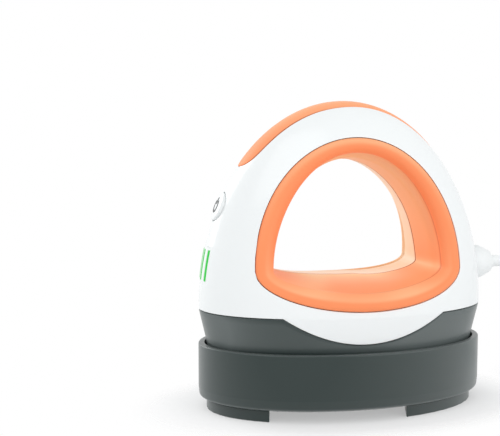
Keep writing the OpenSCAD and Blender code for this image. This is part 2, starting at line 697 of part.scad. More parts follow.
// Route of the free cord: out of the strain relief, down, and along the surface to the coil
route = [[69.1, 0, 58.8], [74, 0, 58.8], [80, 0, 58.2], [86, -0.1, 56.4], [91.8, -0.4, 53.2],
    [97, -1, 48.6], [101.2, -2, 43], [104.8, -3.4, 36.6], [108.2, -5.2, 29.8], [112, -7.6, 22.8],
    [116.6, -10.6, 16.2], [122.2, -14, 10.6], [128.8, -17.8, 6.2], [135.8, -21.6, 3.5], [142, -24.8, 2.3],
    [147.6, -27.4, 2.1], [152.6, -29.4, 2.4], [157.4, -30.3, 2.8], [162, -30.3, 2.8]];

module power_cord() color(white) tube(route, cord_r, 8);

// Coil of the put-away cord: four layers that spiral in and out, and climb where the spiral reverses
layers = 4;
ring_count = 24;
layer_h = coil_pitch;
coil_base = tie_t + 0.2 + cord_r;
coil_span = coil_turns * coil_pitch;
coil_out = coil_r + coil_span / 2;
coil_in = -30.3;
coil_mid = [168, coil_out + coil_in, coil_base];
coil_total = layers * coil_turns;
// Radius at turn t: in over one layer and out over the next
function coil_radius(t) =
    coil_out - coil_pitch * abs(t - 2 * coil_turns * round(t / (2 * coil_turns)));
// Layer at turn t, with a climb in the half turn around each reversal
function coil_layer(t) =
    let (n = min(layers - 1, max(1, round(t / coil_turns))))
    n - 1 + min(1, max(0, 2 * (t - n * coil_turns) + 0.5));
coil_turning = [for (k = [0 : floor(coil_total * ring_count)])
    let (t = k / ring_count)
    coil_mid + [coil_radius(t) * sin(360 * t), -coil_radius(t) * cos(360 * t), layer_h * coil_layer(t)]];
coil_top = coil_base + (layers - 1) * layer_h;
plug_x = coil_mid.x + 48;
plug_y = coil_in + 6.3;
plug_z = plug_h / 2;
coil_path = concat(
    [[route[18].x, coil_in, coil_base], [coil_mid.x - 2, coil_in, coil_base]],
    coil_turning,
    [[coil_mid.x + 4, coil_in - 0.2, coil_top], [coil_mid.x + 14, coil_in - 0.5, coil_top - 1.6],
        [coil_mid.x + 24, coil_in + 0.7, mix(coil_top, plug_z, 0.62)],
        [coil_mid.x + 34, mix(coil_in, plug_y, 0.6), plug_z + 0.7],
        [plug_x - 5, plug_y, plug_z], [plug_x, plug_y, plug_z]]);

// Least gap between turns: points within a quarter turn of each other are neighbours
near = ring_count / 4;
coil_gap = min([for (i = [0 : len(coil_path) - near - 1])
    min([for (j = [i + near : len(coil_path) - 1]) norm(coil_path[i] - coil_path[j])])]) - cord_d;
cord_length = sum([for (i = [1 : len(route) - 1]) norm(route[i] - route[i - 1])])
    + sum([for (i = [1 : len(coil_path) - 1]) norm(coil_path[i] - coil_path[i - 1])]);
function sum(v, i = 0) = i < len(v) ? v[i] + sum(v, i + 1) : 0;
echo(coil_gap = coil_gap, cord_length = cord_length);

module cord_coil() color(white) tube(coil_path, cord_r, 6, [0, 0, 1]);

module cord_tie() color([0.1, 0.1, 0.11])
    translate([coil_mid.x + coil_r, coil_mid.y, 0]) rotate([90, 0, 0])
        translate([0, 0, -tie_w / 2]) linear_extrude(tie_w) {
            bundle_w = coil_span + cord_d + 1.2;
            bundle_h = coil_top + cord_r + 0.2 - tie_t;
            difference() {
                translate([-bundle_w / 2 - tie_t, 0]) square([bundle_w + 2 * tie_t, bundle_h + 2 * tie_t]);
                translate([-bundle_w / 2, tie_t]) square([bundle_w, bundle_h]);
            }
        }

module plug_body() color(white) translate([plug_x, plug_y, plug_z]) rotate([90, 0, 90]) {
    translate([0, 0, 6]) linear_extrude(plug_l - 6) plug_face(2.4);
    linear_extrude(6) circle(d = plug_h * 0.62);
}

module plug_face(r) {
    translate([r - plug_w / 2, -plug_h / 2]) square([plug_w - 2 * r, plug_h]);
    translate([-plug_w / 2, r - plug_h / 2]) square([plug_w, plug_h - 2 * r]);
    for (x = [-1, 1], y = [-1, 1]) translate([x * (plug_w / 2 - r), y * (plug_h / 2 - r)]) circle(r);
}

module plug_blades() color([0.82, 0.7, 0.42]) for (k = [-1, 1])
    translate([plug_x + plug_l, plug_y + k * blade_gap / 2 - blade_t / 2, plug_z - blade_w / 2])
        cube([blade_l, blade_t, blade_w]);

// ---------------------------------------------------------------- assembly

dock_tray();
dock_feet();
dock_mat();
front_shell();
rear_shell();
lower_housing();
front_grip();
rear_grip();
top_strip();
bar_frame();
light_bars();
power_button();
switch_plunger();
tact_switch();
panel_board();
indicator_leds();
carrier();
control_board();
power_relay();
capacitor();
terminal_block();
board_screws();
heat_plate();
heating_element();
element_clamp();
insulation_felt();
heat_shield();
plate_posts();
plate_screws();
thermal_fuse();
temperature_sensor();
strain_relief();
cord_clamp();
clamp_screws();
cord_end();
supply_leads();
heater_leads();
power_cord();
cord_coil();
cord_tie();
plug_body();
plug_blades();
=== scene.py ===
import json
import math
from math import sin, cos, atan2, sqrt, pi, radians

import bpy
import numpy as np
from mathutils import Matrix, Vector


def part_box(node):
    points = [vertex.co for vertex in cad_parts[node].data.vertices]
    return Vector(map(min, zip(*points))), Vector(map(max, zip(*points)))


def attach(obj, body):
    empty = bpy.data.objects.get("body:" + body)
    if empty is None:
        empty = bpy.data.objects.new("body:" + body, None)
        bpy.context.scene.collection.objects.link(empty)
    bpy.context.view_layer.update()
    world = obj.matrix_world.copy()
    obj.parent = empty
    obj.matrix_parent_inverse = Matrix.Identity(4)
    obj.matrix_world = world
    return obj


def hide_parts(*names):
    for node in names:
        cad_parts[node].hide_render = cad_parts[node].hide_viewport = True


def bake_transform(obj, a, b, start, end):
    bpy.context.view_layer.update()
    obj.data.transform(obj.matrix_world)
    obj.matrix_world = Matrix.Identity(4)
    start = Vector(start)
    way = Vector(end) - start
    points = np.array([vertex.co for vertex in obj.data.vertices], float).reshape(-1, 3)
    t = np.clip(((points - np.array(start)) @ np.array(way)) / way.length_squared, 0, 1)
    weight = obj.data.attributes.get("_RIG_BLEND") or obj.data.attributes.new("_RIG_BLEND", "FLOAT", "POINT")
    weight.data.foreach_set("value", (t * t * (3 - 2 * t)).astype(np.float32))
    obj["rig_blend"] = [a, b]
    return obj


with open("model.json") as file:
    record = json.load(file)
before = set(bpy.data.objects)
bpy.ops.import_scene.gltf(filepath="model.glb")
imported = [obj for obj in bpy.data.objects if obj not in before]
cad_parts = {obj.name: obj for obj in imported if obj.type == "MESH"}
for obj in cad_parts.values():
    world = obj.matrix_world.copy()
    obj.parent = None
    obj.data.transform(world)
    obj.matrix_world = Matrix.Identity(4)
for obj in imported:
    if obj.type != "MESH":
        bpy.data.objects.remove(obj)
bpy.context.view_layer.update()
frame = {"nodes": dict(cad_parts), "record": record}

mm = 0.001
bpy.context.scene.view_settings.view_transform = "Standard"

# angles in radians and lengths in metres: round the object from its front, then turned aside and dipped
cameraView = {"round": 0.3339, "distance": 0.3748, "height": 0.110895, "aside": -0.1054, "dip": 0.0843,
              "focalPixels": 872.92, "imageWidth": 500, "sensor": 36, "clipStart": 0.01}


def addCamera(view):
    heading, dip, away = view["round"] + view["aside"], view["dip"], view["distance"]
    eye = Vector((-sin(view["round"]) * away, -cos(view["round"]) * away, view["height"]))
    ahead = Vector((sin(heading) * cos(dip), cos(heading) * cos(dip), -sin(dip)))
    bpy.ops.object.camera_add(location=eye, rotation=ahead.to_track_quat("-Z", "Y").to_euler())
    camera = bpy.context.object
    camera.data.sensor_width = view["sensor"]
    camera.data.lens = view["focalPixels"] * view["sensor"] / view["imageWidth"]
    camera.data.clip_start = view["clipStart"]
    bpy.context.scene.camera = camera


addCamera(cameraView)
print("camera placed")


def deselectAll():
    if bpy.context.object and bpy.context.object.mode != "OBJECT":
        bpy.ops.object.mode_set(mode="OBJECT")
    bpy.ops.object.select_all(action="DESELECT")


def selectOnly(piece):
    deselectAll()
    piece.select_set(True)
    bpy.context.view_layer.objects.active = piece


def mergeAndTurnOut(piece, distance=2e-6):
    selectOnly(piece)
    bpy.ops.object.mode_set(mode="EDIT")
    bpy.ops.mesh.select_all(action="SELECT")
    bpy.ops.mesh.remove_doubles(threshold=distance)
    bpy.ops.mesh.normals_make_consistent(inside=False)
    bpy.ops.object.mode_set(mode="OBJECT")


def smoothUnder(piece, angle):
    selectOnly(piece)
    bpy.ops.object.shade_smooth_by_angle(angle=radians(angle))


def gridPiece(name, rows, capped=False, angle=40):
    # each row is a closed loop of points; the skin over the rows closes in a ring, or with a cap at each end
    rows = np.asarray(rows, float)
    rows = np.concatenate([rows, rows[:, :1]], 1)
    if capped:
        caps = [np.broadcast_to(row[:-1].mean(0), row.shape) for row in (rows[0], rows[-1])]
        rows = np.concatenate([caps[:1], rows, caps[1:]])
    else:
        rows = np.concatenate([rows, rows[:1]])
    deselectAll()
    across, along = rows.shape[1] - 1, rows.shape[0] - 1
    bpy.ops.mesh.primitive_grid_add(x_subdivisions=across, y_subdivisions=along, size=0.1)
    piece = bpy.context.object
    piece.name = name
    piece.data.vertices.foreach_set("co", (rows * mm).astype(np.float32).ravel())
    piece.data.update()
    mergeAndTurnOut(piece)
    smoothUnder(piece, angle)
    return piece


def finishModifiers(piece):
    selectOnly(piece)
    for modifier in list(piece.modifiers):
        bpy.ops.object.modifier_apply(modifier=modifier.name)


polish = {"merge": 1e-5, "flatUnder": 1, "cornerOver": 30, "segments": 3, "smoothUnder": 35}


def polishedCopy(node, name, bevel):
    # a copy of a frame node's mesh with rounded edges
    piece = frame["nodes"][node].copy()
    piece.data = piece.data.copy()
    for key in list(piece.keys()):
        del piece[key]
    piece.parent = None
    piece.name = name
    bpy.context.scene.collection.objects.link(piece)
    mergeAndTurnOut(piece, polish["merge"])
    bpy.ops.object.mode_set(mode="EDIT")
    bpy.ops.mesh.dissolve_limited(angle_limit=radians(polish["flatUnder"]))
    bpy.ops.object.mode_set(mode="OBJECT")
    rounding = piece.modifiers.new("rounding", "BEVEL")
    rounding.width, rounding.segments = bevel * mm, polish["segments"]
    rounding.limit_method, rounding.angle_limit = "ANGLE", radians(polish["cornerOver"])
    finishModifiers(piece)
    smoothUnder(piece, polish["smoothUnder"])
    return piece


def joined(name, pieces):
    deselectAll()
    for piece in pieces:
        piece.select_set(True)
    bpy.context.view_layer.objects.active = pieces[0]
    bpy.ops.object.join()
    piece = bpy.context.object
    piece.name = name
    return piece


def mix(a, b, t):
    return a + (b - a) * t


def smoothStep(value, low, high):
    t = min(1.0, max(0.0, (value - low) / (high - low)))
    return t * t * (3 - 2 * t)


def signedPower(value, power):
    return math.copysign(abs(value) ** power, value)


def smoothLine(points, steps):
    # a curve through all the points, with this many steps from each to the next
    p = np.asarray(points, float)
    p = np.concatenate([2 * p[:1] - p[1:2], p, 2 * p[-1:] - p[-2:-1]])
    line = []
    for i in range(1, len(p) - 2):
        for k in range(steps):
            t = k / steps
            line.append(0.5 * (2 * p[i] + (p[i + 1] - p[i - 1]) * t
                               + (2 * p[i - 1] - 5 * p[i] + 4 * p[i + 1] - p[i + 2]) * t ** 2
                               + (3 * p[i] - p[i - 1] - 3 * p[i + 1] + p[i + 2]) * t ** 3))
    return np.array(line + [p[-2]])


def runAlong(points):
    # distance of each point from the first, along the line
    return np.concatenate([[0], np.cumsum(np.linalg.norm(np.diff(points, axis=0), axis=1))])


def evenly(points, count):
    run = runAlong(points)
    want = np.linspace(0, run[-1], count)
    return np.stack([np.interp(want, run, points[:, c]) for c in range(points.shape[1])], 1)


def tubeRows(path, radii, sides):
    ahead = np.gradient(path, axis=0)
    ahead /= np.linalg.norm(ahead, axis=1)[:, None]
    u = np.cross((0, 0, 1), ahead)
    u /= np.linalg.norm(u, axis=1)[:, None]
    v = np.cross(ahead, u)
    turn = 2 * pi * np.arange(sides) / sides
    wide = np.broadcast_to(radii, len(path))[:, None, None]
    return path[:, None] + wide * (u[:, None] * np.cos(turn)[:, None] + v[:, None] * np.sin(turn)[:, None])


def feed(tree, node, inputs):
    # each named input gets a plain value, or a link from another node's output
    for label, value in inputs.items():
        if isinstance(value, bpy.types.NodeSocket):
            tree.links.new(value, node.inputs[label])
        else:
            node.inputs[label].default_value = value
    return node


def mathNode(tree, operation, a, b):
    node = tree.nodes.new("ShaderNodeMath")
    node.operation = operation
    return feed(tree, node, {0: a, 1: b}).outputs[0]


def mixColours(tree, share, first, second):
    node = tree.nodes.new("ShaderNodeMix")
    node.data_type = "RGBA"
    return feed(tree, node, {"Factor": share, 6: first, 7: second}).outputs[2]


def mixShaders(tree, share, first, second):
    node = tree.nodes.new("ShaderNodeMixShader")
    return feed(tree, node, {0: share, 1: first.outputs[0], 2: second.outputs[0]}).outputs[0]


def noiseNode(tree, scale, detail, stretch=None, roughness=0.5):
    where = tree.nodes.new("ShaderNodeTexCoord").outputs["Object"]
    if stretch:
        mapping = tree.nodes.new("ShaderNodeMapping")
        where = feed(tree, mapping, {"Vector": where, "Scale": stretch}).outputs[0]
    noise = tree.nodes.new("ShaderNodeTexNoise")
    feed(tree, noise, {"Vector": where, "Scale": scale, "Detail": detail, "Roughness": roughness})
    return noise.outputs["Fac"]


def varied(tree, base, noise, amount):
    # the base value, more or less by the noise's swing about its middle
    swing = mathNode(tree, "SUBTRACT", noise, 0.5)
    return mathNode(tree, "ADD", base, mathNode(tree, "MULTIPLY", swing, amount))


def tinted(tree, colour, amount):
    node = tree.nodes.new("ShaderNodeVectorMath")
    node.operation = "SCALE"
    return feed(tree, node, {0: colour, "Scale": amount}).outputs[0]


def newGroup(name, inputs, outputs):
    # inputs come with their first values; an input of four numbers is a colour, and so is the output Color
    group = bpy.data.node_groups.new(name, "ShaderNodeTree")
    for label, value in inputs.items():
        kind = "NodeSocketColor" if isinstance(value, tuple) else "NodeSocketFloat"
        group.interface.new_socket(label, in_out="INPUT", socket_type=kind).default_value = value
    for label in outputs:
        kind = "NodeSocketColor" if label == "Color" else "NodeSocketFloat"
        group.interface.new_socket(label, in_out="OUTPUT", socket_type=kind)
    return group, group.nodes.new("NodeGroupInput").outputs, group.nodes.new("NodeGroupOutput")


# noises by scale per metre, detail and stretch
skinNoise = {"cloud": (22.0, 3), "smear": (60.0, 4, (1, 1, 0.35)), "grainDetail": 2}
metalNoise = {"lines": (400.0, 3, (0.08, 1, 1)), "patches": (90.0, 3), "dulling": 0.2}
speckleNoise = {"detail": 3, "roughness": 0.65, "from": 0.42, "steepness": 5.0}


def makeMouldedSkin():
    # moulded plastic or rubber: cloudy tone, handling marks in the gloss and a fine spark-eroded grain
    group, given, put = newGroup("mouldedSkin", {
        "Color": (0.8, 0.8, 0.8, 1), "Tone": 0.03, "Roughness": 0.35, "Marks": 0.08, "Grain Scale": 3000.0},
        ("Color", "Roughness", "Height"))
    shade = varied(group, 1.0, noiseNode(group, *skinNoise["cloud"]), given["Tone"])
    rough = varied(group, given["Roughness"], noiseNode(group, *skinNoise["smear"]), given["Marks"])
    feed(group, put, {"Color": tinted(group, given["Color"], shade), "Roughness": rough,
                      "Height": noiseNode(group, given["Grain Scale"], skinNoise["grainDetail"])})
    return group


def makeDrawnMetal():
    # rolled or drawn metal: lines along one way, with duller patches
    group, given, put = newGroup("drawnMetal", {
        "Color": (0.7, 0.7, 0.7, 1), "Roughness": 0.35, "Lines": 0.12},
        ("Color", "Roughness", "Height"))
    lines, patches = noiseNode(group, *metalNoise["lines"]), noiseNode(group, *metalNoise["patches"])
    shade = varied(group, 1.0, lines, given["Lines"])
    rough = varied(group, given["Roughness"], patches, metalNoise["dulling"])
    feed(group, put, {"Color": tinted(group, given["Color"], shade), "Roughness": rough, "Height": lines})
    return group


def makeSpeckle():
    # two tones in grains or fibres, as on mica, felt and a sprayed coating
    group, given, put = newGroup("speckle", {
        "Color": (0.5, 0.5, 0.5, 1), "Other": (0.3, 0.3, 0.3, 1), "Share": 0.4, "Scale": 1500.0},
        ("Color", "Height"))
    grains = noiseNode(group, given["Scale"], speckleNoise["detail"], roughness=speckleNoise["roughness"])
    mask = mathNode(group, "SUBTRACT", grains, speckleNoise["from"])
    mask = mathNode(group, "MULTIPLY", mask, speckleNoise["steepness"])
    mask = mathNode(group, "MINIMUM", mathNode(group, "MAXIMUM", mask, 0.0), 1.0)
    mask = mathNode(group, "MULTIPLY", mask, given["Share"])
    feed(group, put, {"Color": mixColours(group, mask, given["Color"], given["Other"]), "Height": grains})
    return group


groups = {"mouldedSkin": makeMouldedSkin(), "drawnMetal": makeDrawnMetal(), "speckle": makeSpeckle()}


def newMaterial(name):
    material = bpy.data.materials.new(name)
    material.use_nodes = True
    return material, material.node_tree, material.node_tree.nodes["Principled BSDF"]


def effectNode(tree, effect, inputs):
    node = tree.nodes.new("ShaderNodeGroup")
    node.node_tree = groups[effect]
    return feed(tree, node, inputs)


def finish(name, effect, inputs, shader, bump):
    # bump is its strength and its height in mm
    material, tree, surface = newMaterial(name)
    look = effectNode(tree, effect, inputs).outputs
    grain = feed(tree, tree.nodes.new("ShaderNodeBump"),
                 {"Strength": bump[0], "Distance": bump[1] * mm, "Height": look["Height"]})
    feed(tree, surface, {**shader, "Base Color": look["Color"], "Normal": grain.outputs[0]})
    if "Roughness" in look:
        tree.links.new(look["Roughness"], surface.inputs["Roughness"])
    return material


def moulded(name, colour, roughness, tone=0.03, marks=0.08, grain=3000.0, bump=(0.12, 0.05), **shader):
    return finish(name, "mouldedSkin", {"Color": (*colour, 1), "Tone": tone, "Roughness": roughness,
                                        "Marks": marks, "Grain Scale": grain}, shader, bump)


def metal(name, colour, roughness, lines=0.12, bump=(0.1, 0.03)):
    return finish(name, "drawnMetal", {"Color": (*colour, 1), "Roughness": roughness, "Lines": lines},
                  {"Metallic": 1.0}, bump)


def speckled(name, colour, other, share, scale, roughness, bump, **shader):
    return finish(name, "speckle", {"Color": (*colour, 1), "Other": (*other, 1), "Share": share,
                                    "Scale": scale}, {"Roughness": roughness, **shader}, bump)


def layered(material, colour, layers):
    # the finish's colour, with one more tint laid over it for each (share of the tint, tint)
    tree, shown = material.node_tree, (*colour, 1)
    for share, tint in layers:
        shown = mixColours(tree, share, shown, (*tint, 1))
    effect = next(node for node in tree.nodes if node.type == "GROUP")
    tree.links.new(shown, effect.inputs["Color"])
    return material


def paintedSheen(name, colour, sheen, low, high):
    # painted sheen: a lighter colour painted where the face turns away from the eye, standing in for light from
    # the sides; none of it at low, all of it at high
    material = moulded(name, colour, roughness=0.3, tone=0.06, marks=0.06, grain=2600.0, bump=(0.2, 0.04))
    tree = material.node_tree
    facing = feed(tree, tree.nodes.new("ShaderNodeLayerWeight"), {"Blend": 0.5}).outputs["Facing"]
    span = tree.nodes.new("ShaderNodeMapRange")
    feed(tree, span, {"Value": facing, "From Min": low, "From Max": high})
    return layered(material, colour, [(span.outputs["Result"], sheen)])


def makeOrange(colour, **tints):
    # each tint is laid on by the point attribute of its name; these tints are painted light and painted shade
    material = moulded("orangePlastic", colour, roughness=0.5, tone=0.03, marks=0.08, grain=2800.0,
                       bump=(0.12, 0.05), **{"Specular IOR Level": 0.25})
    layers = []
    for label, tint in tints.items():
        node = material.node_tree.nodes.new("ShaderNodeAttribute")
        node.attribute_name = label
        layers.append((node.outputs["Fac"], tint))
    return layered(material, colour, layers)


greenLight = {"middle": (0.012, 0.58, 0.035, 1), "rim": (0.01, 0.38, 0.03, 1), "unlit": (0.01, 0.12, 0.02, 1),
              "tone": 0.2, "rimBlend": 0.35, "strength": 0.9, "roughness": 0.3, "specular": 0.1}


def makeGreenLight(light):
    # lit guide: bright down its middle, deeper green towards its rims
    material, tree, surface = newMaterial("greenLight")
    rim = feed(tree, tree.nodes.new("ShaderNodeLayerWeight"), {"Blend": light["rimBlend"]}).outputs["Facing"]
    look = effectNode(tree, "mouldedSkin", {"Color": light["unlit"], "Tone": light["tone"]})
    feed(tree, surface, {"Base Color": look.outputs["Color"], "Roughness": light["roughness"],
                         "Specular IOR Level": light["specular"], "Emission Strength": light["strength"],
                         "Emission Color": mixColours(tree, rim, light["middle"], light["rim"])})
    return material


# painted sheen: colour, painted sheen colour, low, high; metal: colour, roughness
# moulded: colour, roughness, cloudy tone, handling marks, grain per metre, bump
# speckled: colour, other colour and its share, grain per metre, roughness, bump
finishes = {
    # the slate's lighter ends are painted sheen, standing in for side light on faces turned from the eye
    "slate_plastic": paintedSheen("slatePlastic", (0.014, 0.028, 0.026), (0.115, 0.133, 0.131), 0.04, 0.6),
    "slate_skirt": paintedSheen("slateSkirt", (0.018, 0.032, 0.03), (0.108, 0.128, 0.126), 0.02, 0.24),
    "grey_silicone": moulded("greySilicone", (0.04, 0.044, 0.045), 0.6, 0.08, 0.1, 1500.0, (0.3, 0.06)),
    "white_plastic": moulded("whitePlastic", (0.885, 0.91, 0.912), 0.22, 0.012, 0.05, 3200.0, (0.03, 0.03)),
    # the orange's first two tints are painted light, the third is painted shade
    "orange_plastic": makeOrange((1.0, 0.3, 0.12), pale=(1.0, 0.65, 0.365), bright=(1.0, 0.84, 0.68),
                                 shade=(0.5, 0.12, 0.04)),
    "black_plastic": moulded("blackPlastic", (0.03, 0.03, 0.032), 0.45),
    "white_rubber": moulded("whiteRubber", (0.87, 0.89, 0.89), 0.48, 0.03, 0.1, 2000.0, (0.15, 0.05)),
    "green_light": makeGreenLight(greenLight),
    "board_green": moulded("boardGreen", (0.02, 0.2, 0.08), 0.3, 0.2, 0.1, 900.0),
    "lamp_clear": moulded("lampClear", (0.85, 0.9, 0.85), 0.15, 0.02),
    "relay_blue": moulded("relayBlue", (0.05, 0.12, 0.45), 0.4),
    "capacitor_sleeve": moulded("capacitorSleeve", (0.04, 0.04, 0.06), 0.25),
    "core_brown": moulded("coreBrown", (0.2, 0.09, 0.04), 0.45),
    "core_red": moulded("coreRed", (0.5, 0.04, 0.03), 0.45),
    "steel": metal("steel", (0.6, 0.6, 0.62), 0.35),
    "bright_aluminium": metal("brightAluminium", (0.8, 0.8, 0.82), 0.3),
    "fuse_body": metal("fuseBody", (0.75, 0.6, 0.3), 0.35),
    "brass": metal("brass", (0.78, 0.62, 0.32), 0.25),
    "mica": speckled("mica", (0.62, 0.56, 0.42), (0.42, 0.34, 0.2), 0.6, 900.0, 0.6, (0.2, 0.05)),
    "felt": speckled("felt", (0.75, 0.72, 0.62), (0.6, 0.56, 0.46), 0.7, 1800.0, 0.9, (0.6, 0.2)),
    "coated_aluminium": speckled("coatedAluminium", (0.13, 0.13, 0.14), (0.28, 0.28, 0.29), 0.35, 2600.0,
                                 0.42, (0.15, 0.03), Metallic=0.35),
}
print("finishes made")


def place(piece, bodyName, slotName, *nodes, look=None):
    # the piece stands for these frame nodes, is finished as its slot says and rides on the body
    if nodes:
        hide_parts(*nodes)
    piece.data.materials.clear()
    piece.data.materials.append(finishes[look or slotName])
    if "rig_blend" not in piece:
        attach(piece, bodyName)
    return piece


# the cord's route from the strain relief down to the surface and up to its coil, in metres
cordRoute = [(0.0691, 0, 0.0588), (0.074, 0, 0.0588), (0.08, 0, 0.0582), (0.086, -0.0001, 0.0564),
             (0.0918, -0.0004, 0.0532), (0.097, -0.001, 0.0486), (0.1012, -0.002, 0.043),
             (0.1048, -0.0034, 0.0366), (0.1082, -0.0052, 0.0298), (0.112, -0.0076, 0.0228),
             (0.1166, -0.0106, 0.0162), (0.1222, -0.014, 0.0106), (0.1288, -0.0178, 0.0062),
             (0.1358, -0.0216, 0.0035), (0.142, -0.0248, 0.0023), (0.1476, -0.0274, 0.0021),
             (0.1526, -0.0294, 0.0024), (0.1574, -0.0303, 0.0028)]
cord = {"diameter": 4, "sides": 14, "bendFrom": 0.086, "bendTo": 0.13, "steps": 2}
coil = {"middleX": 168, "leadIn": (162, 166), "start": -30.3, "radius": 24, "turns": 2.75, "layers": 4,
        "pitch": 4.6, "perTurn": 24, "base": 2.8}
plug = {"x": 216, "y": -24, "z": 8}


def coilPath(c):
    # layer on layer, winding inwards and outwards in turn, then off the top and down to the plug
    spread = c["radius"] + c["turns"] * c["pitch"] / 2
    middleY = spread + c["start"]
    top = c["base"] + (c["layers"] - 1) * c["pitch"]
    points = [(x, c["start"], c["base"]) for x in c["leadIn"]]
    for k in range(int(c["layers"] * c["turns"] * c["perTurn"]) + 1):
        t = k / c["perTurn"]
        radius = spread - c["pitch"] * abs(t - 2 * c["turns"] * math.floor(t / (2 * c["turns"]) + 0.5))
        n = min(c["layers"] - 1, max(1, math.floor(t / c["turns"] + 0.5)))
        layer = n - 1 + min(1, max(0, 2 * (t - n * c["turns"]) + 0.5))
        points.append((c["middleX"] + radius * sin(2 * pi * t), middleY - radius * cos(2 * pi * t),
                       c["base"] + c["pitch"] * layer))
    x, y, low = c["middleX"], c["start"], plug["z"]
    return points + [(x + 4, y - 0.2, top), (x + 14, y - 0.5, top - 1.6),
                     (x + 24, y + 0.7, mix(top, low, 0.62)), (x + 34, mix(y, plug["y"], 0.6), low + 0.7),
                     (plug["x"] - 5, plug["y"], low), (plug["x"], plug["y"], low)]


cordPath = smoothLine([tuple(v / mm for v in p) for p in cordRoute] + coilPath(coil), cord["steps"])
exitZ = cordRoute[0][2]
powerCord = gridPiece("powerCord", tubeRows(cordPath, cord["diameter"] / 2, cord["sides"]), capped=True)
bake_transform(powerCord, "press", "dock", start=(cord["bendFrom"], 0, exitZ), end=(cord["bendTo"], 0, exitZ))
place(powerCord, None, "white_rubber", "power_cord", "cord_coil")

# outlines as in the frame's source; each rise is a height over the arris, where the dome starts
body = {"halfLength": 62.2, "halfWidth": 34.75, "arris": 42.7, "domeHeight": 86, "crownHalf": 30.5,
        "crownPower": 2.2, "wall": 2.2, "seam": 0.25, "skirtHeight": 14.6, "skirtIn": 3.4, "bibHalf": 34,
        "bibDrop": 11.2}
ring = {"halfLength": 43.8, "middle": 60.7, "up": 53, "down": 15.8, "width": 7.4, "linerIn": 3,
        "linerWall": 2}
strip = {"width": 16.5, "half": 45.2, "proud": 0.45, "tip": 0.5, "powers": (18, 3), "narrows": 0.17,
         "narrowsFrom": (-8, 22), "gap": 0.4, "roll": 0.3, "steps": 60, "across": 21}
button = {"rise": 42.6, "diameter": 12.6, "clearance": 0.12, "edge": 0.35, "crown": 0.65,
          "flange": (1.2, -4.12, -5.52), "stem": (2, -8)}
bars = {"rise": 18.6, "height": 12, "width": 1.3, "pitch": 5, "margin": 1.8, "grow": 0.32, "proud": 0.12,
        "back": 12, "slotGap": 0.06, "slotFrom": 3, "slotBack": 6, "windowPower": 6, "windowGap": 0.01,
        "steps": 36, "across": 25}
relief = {"rise": 16.1, "diameter": 14.8, "tip": 10.4, "out": 8}
dock = {"under": 4.8, "floor": 3, "wall": 2.6, "gap": 0.9, "mat": 2.7, "skirtOverMat": 2.8}
rim = body["arris"] - body["skirtHeight"]
matZ = dock["under"] + dock["floor"]
skirtZ = matZ + dock["mat"] + dock["skirtOverMat"]
buttonZ = body["arris"] + button["rise"]
barsZ = body["arris"] + bars["rise"]
reliefZ = body["arris"] + relief["rise"]
windowWide = bars["pitch"] + bars["width"] / 2 + bars["margin"]
windowTall = bars["height"] / 2 + bars["margin"]


def tuck(z):
    # how far the sides draw in below the arris
    return body["skirtIn"] * np.minimum(1.12, np.maximum(0, body["arris"] - z) / body["skirtHeight"])


def rise(z):
    return np.maximum(0, z - body["arris"]) / body["domeHeight"]


def fullness(z):
    return mix(2, body["crownPower"], rise(z))


def face(z, inside):
    return body["halfWidth"] - inside - tuck(z) - (body["halfWidth"] - body["crownHalf"]) * rise(z)


def depth(x, z, inside=0.0):
    # distance of the skin, or of a face that far inside it, from the middle plane
    across = np.abs(x) / (body["halfLength"] - inside - tuck(z))
    up = np.maximum(0, z - body["arris"]) / (body["domeHeight"] - inside)
    girth = np.sqrt(across ** 2 + up ** 2)
    return face(z, inside) * np.maximum(0, 1 - girth ** fullness(z)) ** (1 / fullness(z))


def shareAtHeight(side, z):
    # a point of the dome's outline, as shares of its half length and height
    s = (z - body["arris"]) / body["domeHeight"]
    return side * sqrt(1 - s * s), s


def shareAtLength(x):
    c = x / body["halfLength"]
    return c, sqrt(1 - c * c)


def skinPoint(share, y, inside=0.0):
    # point of the skin over a point of the outline, y from the middle plane
    z = body["arris"] + body["domeHeight"] * share[1]
    g = (1 - np.minimum(1, np.abs(y) / face(z, inside)) ** fullness(z)) ** (1 / fullness(z))
    x = (body["halfLength"] - inside) * share[0] * g
    height = body["arris"] + (body["domeHeight"] - inside) * share[1] * g
    return np.stack(np.broadcast_arrays(x, y, height), -1)


def skinX(z, y, inside):
    girth = (1 - min(1, y / face(z, inside)) ** fullness(z)) ** (1 / fullness(z))
    up = max(0, z - body["arris"]) / (body["domeHeight"] - inside)
    return (body["halfLength"] - inside - tuck(z)) * sqrt(max(0, girth ** 2 - up ** 2))


def ringRadius(angle, inwards):
    tall = (ring["up"] if sin(angle) > 0 else ring["down"]) - inwards
    return 1 / sqrt((cos(angle) / (ring["halfLength"] - inwards)) ** 2 + (sin(angle) / tall) ** 2)


def ringPoint(angle, inwards):
    radius = ringRadius(angle, inwards)
    return radius * cos(angle), ring["middle"] + radius * sin(angle)


def bibZ(x):
    return body["arris"] - body["bibDrop"] * np.maximum(0, 1 - (x / body["bibHalf"]) ** 2)


def stripHalf(x):
    power = strip["powers"][0 if x < 0 else 1]
    narrow = 1 - strip["narrows"] * smoothStep(x, *strip["narrowsFrom"])
    return strip["width"] / 2 * narrow * sqrt(max(0, 1 - (abs(x) / strip["half"]) ** power))


def windowHalf(z, inside=0.0):
    up, power = abs(z - barsZ) / (windowTall - inside), bars["windowPower"]
    return (windowWide - inside) * max(0, 1 - up ** power) ** (1 / power)


def windowShares(count, inside=0.0):
    # points of the outline from the top of the light window to its foot, closer together at both
    ups = [signedPower(cos(pi * k / count), 1 / 3) for k in range(count + 1)]
    return [shareAtHeight(-1, barsZ + (windowTall - inside) * up) for up in ups]


buttonShare = shareAtHeight(-1, buttonZ)
buttonTilt = atan2(buttonShare[1] / body["domeHeight"], -buttonShare[0] / body["halfLength"])
buttonPos = skinPoint(buttonShare, 0.0)
reliefPos = skinPoint(shareAtHeight(1, reliefZ), 0.0)

